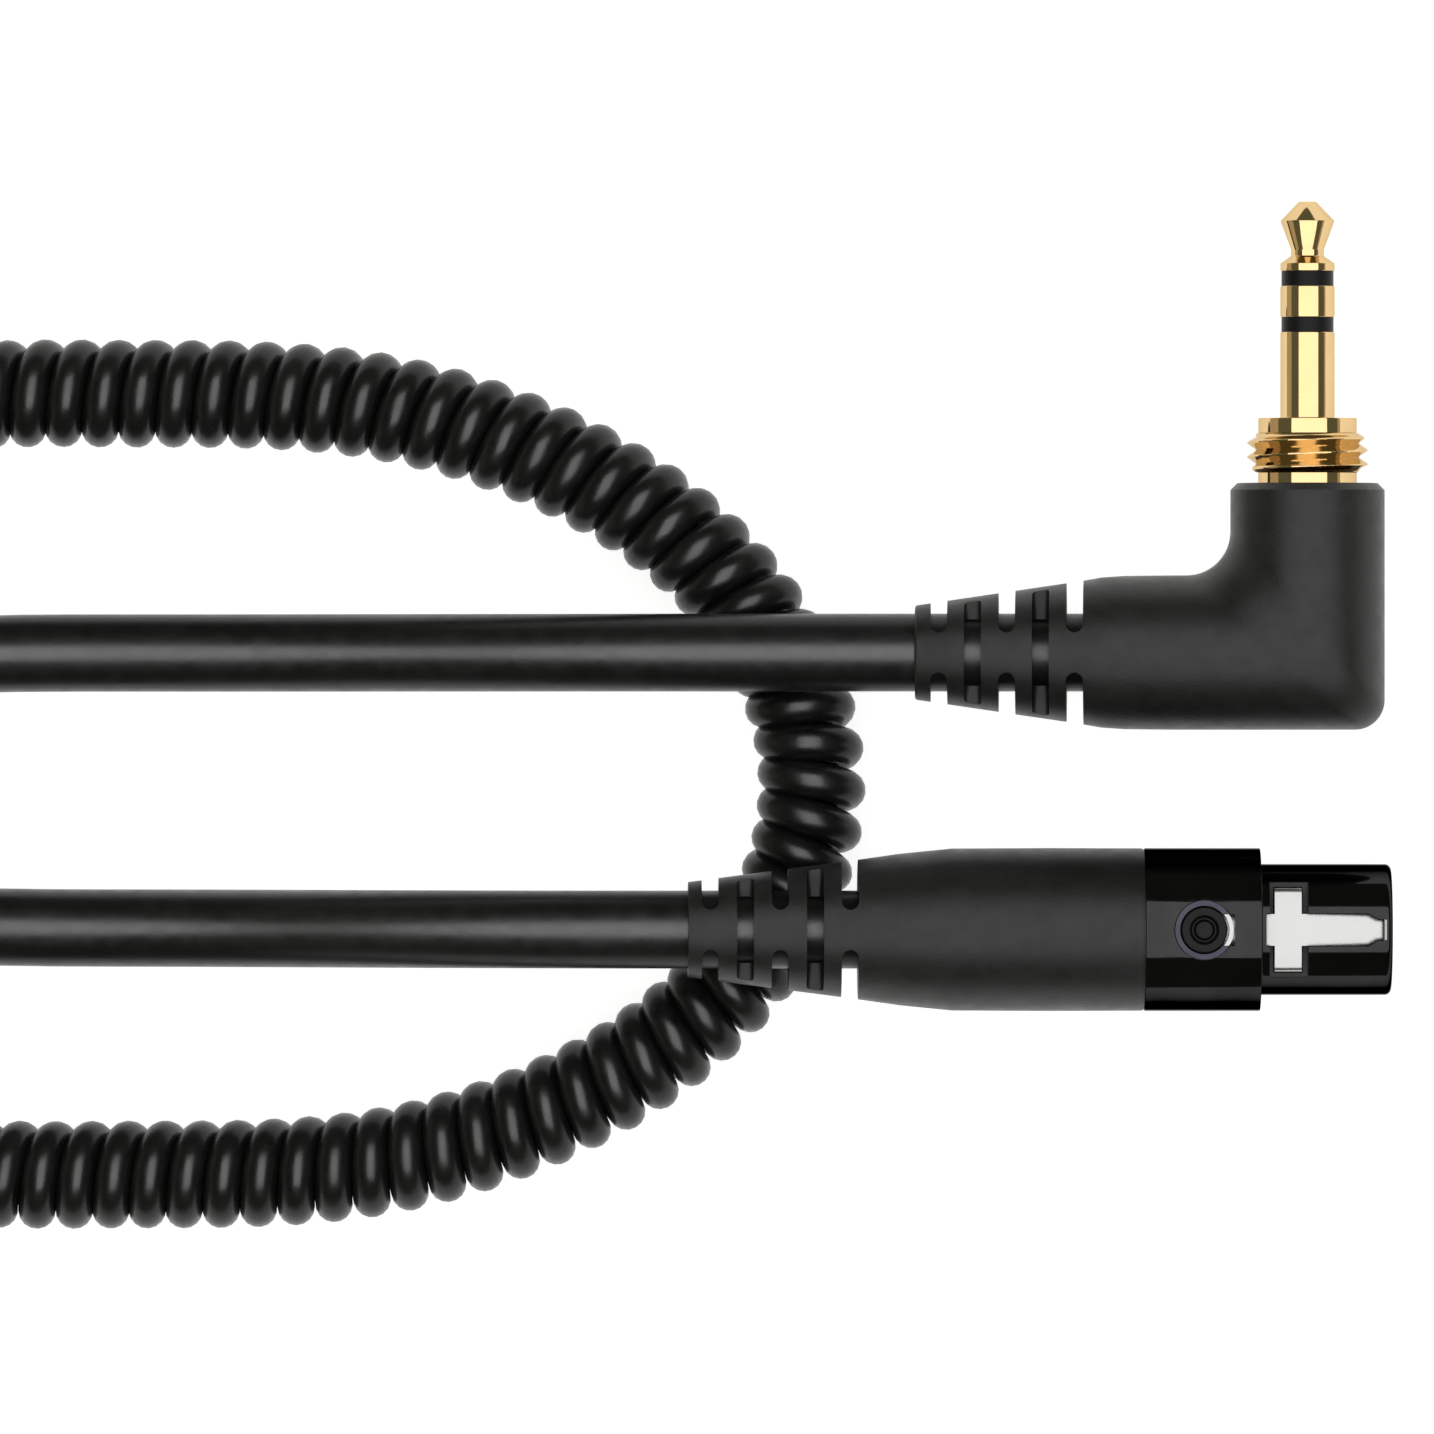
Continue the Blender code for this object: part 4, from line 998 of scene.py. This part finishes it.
def make_shell(finishes):
    profile = [
        (0.0, NOSE_BORE),
        (0.0, NOSE_RADIUS),
        (-NOSE_LENGTH, NOSE_RADIUS),
        (-NOSE_LENGTH, SHELL_RADIUS),
        (-SHELL_LENGTH, SHELL_RADIUS),
        (-SHELL_LENGTH, SHELL_BORE),
        (-NOSE_LENGTH - SHELL_WALL, SHELL_BORE),
        (-NOSE_LENGTH - SHELL_WALL, NOSE_BORE),
    ]
    rounded = []
    for angle in range(0, 91, 9):
        turn = math.radians(angle)
        rounded.append((NOSE_ROUND * (math.cos(turn) - 1), NOSE_RADIUS + NOSE_ROUND * (math.sin(turn) - 1)))
    # the rest of the corners in turn, each with its rounding
    for index, radius in ((2, 0.12), (3, 0.06), (4, 0.05), (5, 0.05), (6, 0.05), (7, 0.05), (0, 0.04)):
        knots = [profile[index - 1], profile[index], profile[(index + 1) % len(profile)]]
        rounded += soften(knots, radius, False, 6)[1:-1]
    shell = add("xlr_shell_black", turned(rounded, "x", SHELL_FACETS, closed=True), finishes["shell"], XLR)
    arm = prism(arm_outline(LEAF_PLAY), OPENING_FLOOR, OPENING_TOP)
    bar = prism(bar_outline(*POCKET_SPAN, POCKET_HALF), POCKET_FLOOR, OPENING_TOP)
    passage = box(*PASSAGE)
    steps = [
        (HOLE_SPAN[0], BUTTON_HOLE),
        (SURROUND_FLOOR, BUTTON_HOLE),
        (SURROUND_FLOOR, SURROUND_RADIUS),
        (HOLE_SPAN[1], SURROUND_RADIUS),
    ]
    hole = turned(steps, "z", CUTTER, centre=(-BUTTON_BACK, 0.0))
    back, front = (ahead - BUTTON_BACK for ahead in NOTCH_SPAN)
    tab_notch = box((back, -LEAF_HALF, NOTCH_FLOOR), (front, LEAF_HALF, HOLE_SPAN[1]))
    cut(shell, [arm, bar, passage, hole, tab_notch])

    outer = bar_outline(*POCKET_SPAN, POCKET_HALF - FRAME_OUTER_PLAY)
    gap = FRAME_INNER_PLAY
    inner = bar_outline(BAR_SPAN[0] - gap, BAR_SPAN[1] + gap, BAR_HALF + gap)
    low, high = FRAME_HEIGHTS
    rings = []
    for outline, z in ((inner, low), (outer, low), (outer, high), (inner, high)):
        rings.append([(x, y, z) for x, y in outline])
    frame_piece = add("latch_pocket_frame", skin(rings, closed=True), finishes["trim"], XLR)

    # the ring round the button, in the finish with the countersink's painted highlight
    collar = band(SURROUND_FLOOR, SURROUND_TOP, BUTTON_HOLE, SURROUND_RADIUS - SURROUND_PLAY)
    collar = soften(collar, SURROUND_ROUND)
    shape = turned(collar, "z", BUTTON_FACETS, closed=True, centre=(-BUTTON_BACK, 0.0))
    surround = add("button_surround", shape, finishes["surround"], XLR)
    cut(surround, [tab_notch])
    for piece in (shell, frame_piece, surround):
        enter(piece, "cable", "xlr_shell")


def make_latch(finishes):
    """The latch as bent sheet: a strip with a turned-down tongue, two wings and a tab at its rear."""
    build = bmesh.new()
    strip = []
    for x, half, z in LEAF_STRIP:
        strip.append([build.verts.new((x * MM, side * half * MM, z * MM)) for side in (-1, 1)])
    for first, second in zip(strip, strip[1:]):
        build.faces.new((first[0], first[1], second[1], second[0]))
    for side in (0, 1):
        inner = (strip[5][side], strip[6][side])
        sign = 2 * side - 1
        for half, drop in WING_BENDS:
            outer = [build.verts.new((v.co.x, sign * half * MM, (LEAF_TOP - drop) * MM)) for v in inner]
            build.faces.new((inner[0], inner[1], outer[1], outer[0]))
            inner = outer
    bmesh.ops.recalc_face_normals(build, faces=build.faces)
    if sum(face.normal.z for face in build.faces) < 0:
        bmesh.ops.reverse_faces(build, faces=build.faces)
    mesh = bpy.data.meshes.new("latch_leaf")
    build.to_mesh(mesh)
    build.free()
    mesh.materials.append(finishes["steel"])
    latch = bpy.data.objects.new("latch_leaf", mesh)
    latch.matrix_world = XLR
    bpy.context.collection.objects.link(latch)
    sheet = latch.modifiers.new("sheet", "SOLIDIFY")
    sheet.thickness = LEAF_THICKNESS * MM
    sheet.offset = -1.0
    edge = latch.modifiers.new("edge", "BEVEL")
    edge.width = LEAF_EDGE * MM
    edge.segments = 2
    edge.limit_method = "ANGLE"
    edge.angle_limit = math.radians(LEAF_BEND)
    bpy.context.view_layer.update()
    bake_modifiers(latch, LEAF_BEND)

    def arc(radius, turns):
        return [(radius * math.cos(a) - BUTTON_BACK, radius * math.sin(a)) for a in turns]

    outer = arc(TAB_OUTER, [math.radians(a) for a in np.linspace(-TAB_TURN, TAB_TURN, 9)])
    outer = [(x, max(-TAB_HALF, min(TAB_HALF, y))) for x, y in outer]
    limit = math.asin(TAB_HALF / TAB_INNER)
    inner = arc(TAB_INNER, np.linspace(limit, -limit, 9))
    tab = add("latch_tab", prism(outer + inner, LEAF_TOP - TAB_FOOT, TAB_TOP), finishes["steel"], XLR)
    for piece in (latch, tab):
        enter(piece, "latch", "xlr_latch")


def make_button(finishes):
    """The release button: a round pin with a ring groove and a nub, over ears that keep it in."""
    profile = [(BUTTON_FOOT, 0.0), (BUTTON_FOOT, BUTTON_RADIUS)]
    profile += [(BUTTON_TOP - depth, radius) for radius, depth in BUTTON_CROWN]
    soft = soften(profile, BUTTON_ROUND, closed=False)
    place = XLR @ Matrix.Translation((-BUTTON_BACK * MM, 0.0, 0.0))
    button = add("release_button_cap", turned(soft, "z", BUTTON_FACETS), finishes["button"], place)
    feet = []
    for side in (-1, 1):
        for half, inner, outer, low, high in (FOOT_EARS, FOOT_STEMS):
            left, right = sorted((side * inner, side * outer))
            feet.append(box((-half, left, low), (half, right, high)))
    foot = add("release_button_feet", joined(feet), finishes["button"], place)
    for piece in (button, foot):
        enter(piece, "release_button", "xlr_release_button")


def make_xlr(finishes):
    seam = [-SHELL_LENGTH - depth for depth in SEAM_SPAN]
    core_front, core_radius = BOOT_CORE
    profile = [
        (core_front, BOOT_CORE_BORE),
        (core_front, core_radius),
        (seam[0], core_radius),
        (seam[0], SEAM_RADIUS),
        (seam[1], SEAM_RADIUS),
        (seam[1], SHELL_RADIUS - SEAM_STEP),
        *BOOT_TAPER,
        (XLR_RELIEF_END, XLR_RELIEF_RADIUS),
        (XLR_RELIEF_END, LEAD_BORE),
        (BOOT_CORE_BACK, LEAD_BORE),
        (BOOT_CORE_BACK, BOOT_CORE_BORE),
    ]
    shape = turned(soften(profile, BOOT_ROUND), "x", closed=True)
    boot = add("xlr_moulding", shape, finishes["moulding"], XLR)
    cut(boot, slot_cutters(XLR_SLOTS))
    enter(boot, "cable", "xlr_boot")
    make_shell(finishes)
    make_latch(finishes)
    make_button(finishes)


# ---- rest of the view

def dress_cad_nodes(finishes):
    """Finishes for the CAD nodes inside the plugs."""
    names = {
        "insulator": ("jack_inner_mould", "xlr_insert"),
        "brass": ("jack_ring_lug", "jack_tip_lug", "jack_sleeve_lug", "xlr_cable_grip"),
        "gold": ("xlr_contact_1", "xlr_contact_2", "xlr_contact_3"),
        "red_wire": ("jack_ring_wire", "xlr_wire_3"),
        "white_wire": ("jack_tip_wire", "xlr_wire_2"),
        "copper_wire": ("jack_sleeve_wire", "xlr_wire_1"),
    }
    for finish, nodes in names.items():
        for node in nodes:
            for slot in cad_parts[node].material_slots:
                slot.material = finishes[finish]


def view_axis():
    tilt = math.radians(VIEW_TILT)
    return Vector((math.sin(tilt), 0.0, math.cos(tilt)))


def make_camera():
    data = bpy.data.cameras.new("view")
    data.sensor_width = SENSOR
    data.lens = SENSOR * (VIEW_DISTANCE - VIEW_HEIGHT) / VIEW_WIDTH
    data.clip_start, data.clip_end = CLIP_SPAN
    camera = bpy.data.objects.new("view", data)
    camera.location = (Vector(VIEW_AIM) + view_axis() * VIEW_DISTANCE) * MM
    camera.rotation_euler = (0.0, math.radians(VIEW_TILT), 0.0)
    bpy.context.collection.objects.link(camera)
    bpy.context.scene.camera = camera


def make_floor():
    """A white sweep that glows a little, as an over-lit studio table does."""
    reach = FLOOR_REACH
    corners = [(-reach, -reach, 0.0), (reach, -reach, 0.0), (reach, reach, 0.0), (-reach, reach, 0.0)]
    nodes = Nodes("white_table")
    mottle = nodes.noise(60.0, 2.0)
    colour = nodes.ramp(mottle, zip(NOISE_SPAN, map(grey, FLOOR_TONES)))
    nodes.constants(Roughness=0.9, Emission_Strength=FLOOR_GLOW)
    nodes.shader.inputs["Emission Color"].default_value = (1.0, 1.0, 1.0, 1.0)
    floor = add("table_top", (corners, [(0, 1, 2, 3)]), nodes.finish(colour))


def lamp(name, glossy=True):
    """One of the softboxes, facing the table along the view's axis."""
    level, height, low, high, half = SOFTBOXES[name]
    start, stop = math.tan(math.radians(low)), math.tan(math.radians(high))
    data = bpy.data.lights.new(name, "AREA")
    data.shape = "RECTANGLE"
    data.size = (stop - start) * height
    data.size_y = 2 * math.tan(math.radians(half)) * height
    data.energy = level * math.pi * data.size * data.size_y
    made = bpy.data.objects.new(name, data)
    axis = view_axis()
    right = Vector((axis.z, 0.0, -axis.x))
    made.location = Vector(VIEW_AIM) * MM + axis * height + right * 0.5 * (start + stop) * height
    made.rotation_euler = (0.0, math.radians(VIEW_TILT), 0.0)
    made.visible_glossy = glossy
    made.visible_diffuse = not glossy
    bpy.context.collection.objects.link(made)
    return made


def aim_at(made, pieces):
    """Lets a lamp light these pieces only."""
    group = bpy.data.collections.new(f"{made.name}_pieces")
    for piece in pieces:
        group.objects.link(piece)
    made.light_linking.receiver_collection = group


def make_light(leads, curly):
    """Softboxes over the table, dark flags round them and a bright horizon to left and right.

    The fill lights the table; the others are only seen as highlights. The leads slope
    down from the plugs, so theirs reaches further back, and the curly cord's is smaller.
    """
    lamp("softbox_fill", glossy=False)
    cords = [*leads, curly]
    plugs = [o for o in bpy.context.scene.objects if o.type == "MESH" and o not in cords]
    aim_at(lamp("softbox_plugs"), plugs)
    aim_at(lamp("softbox_leads"), leads)
    aim_at(lamp("softbox_curly"), [curly])

    world = bpy.data.worlds.new("studio")
    bpy.context.scene.world = world
    world.use_nodes = True
    tree = world.node_tree

    def node(kind, *sources, **settings):
        made = tree.nodes.new(kind)
        for key, value in settings.items():
            setattr(made, key, value)
        for origin, socket in zip(sources, made.inputs):
            tree.links.new(origin, socket)
        return made

    place = node("ShaderNodeTexCoord").outputs["Generated"]
    split = node("ShaderNodeSeparateXYZ", place)
    sizes = []
    for axis in "XY":
        sizes.append(node("ShaderNodeMath", split.outputs[axis], operation="ABSOLUTE").outputs["Value"])
    sideways = node("ShaderNodeMath", *sizes, operation="SUBTRACT").outputs["Value"]
    upward = node("ShaderNodeVectorMath", place, operation="DOT_PRODUCT")
    upward.inputs[1].default_value = view_axis()
    masks = []
    for value, (low, high) in ((sideways, SIDE_FADE), (upward.outputs["Value"], TOP_FADE)):
        mask = node("ShaderNodeMapRange", value)
        mask.inputs["From Min"].default_value = low
        mask.inputs["From Max"].default_value = high
        masks.append(mask.outputs["Result"])
    both = node("ShaderNodeMath", *masks, operation="MULTIPLY")
    mix = node("ShaderNodeMix", both.outputs["Value"], data_type="RGBA")
    colours = [socket for socket in mix.inputs if socket.type == "RGBA"]
    colours[0].default_value = DARK_FLAGS
    colours[1].default_value = HORIZON
    shown = next(socket for socket in mix.outputs if socket.type == "RGBA")
    tree.links.new(shown, tree.nodes["Background"].inputs["Color"])


def main():
    finishes = make_finishes()
    make_camera()
    leads, curly = make_cords(finishes)
    make_jack(finishes)
    make_xlr(finishes)
    dress_cad_nodes(finishes)
    make_floor()
    make_light(leads, curly)
    bpy.context.scene.view_settings.view_transform = "Standard"


main()
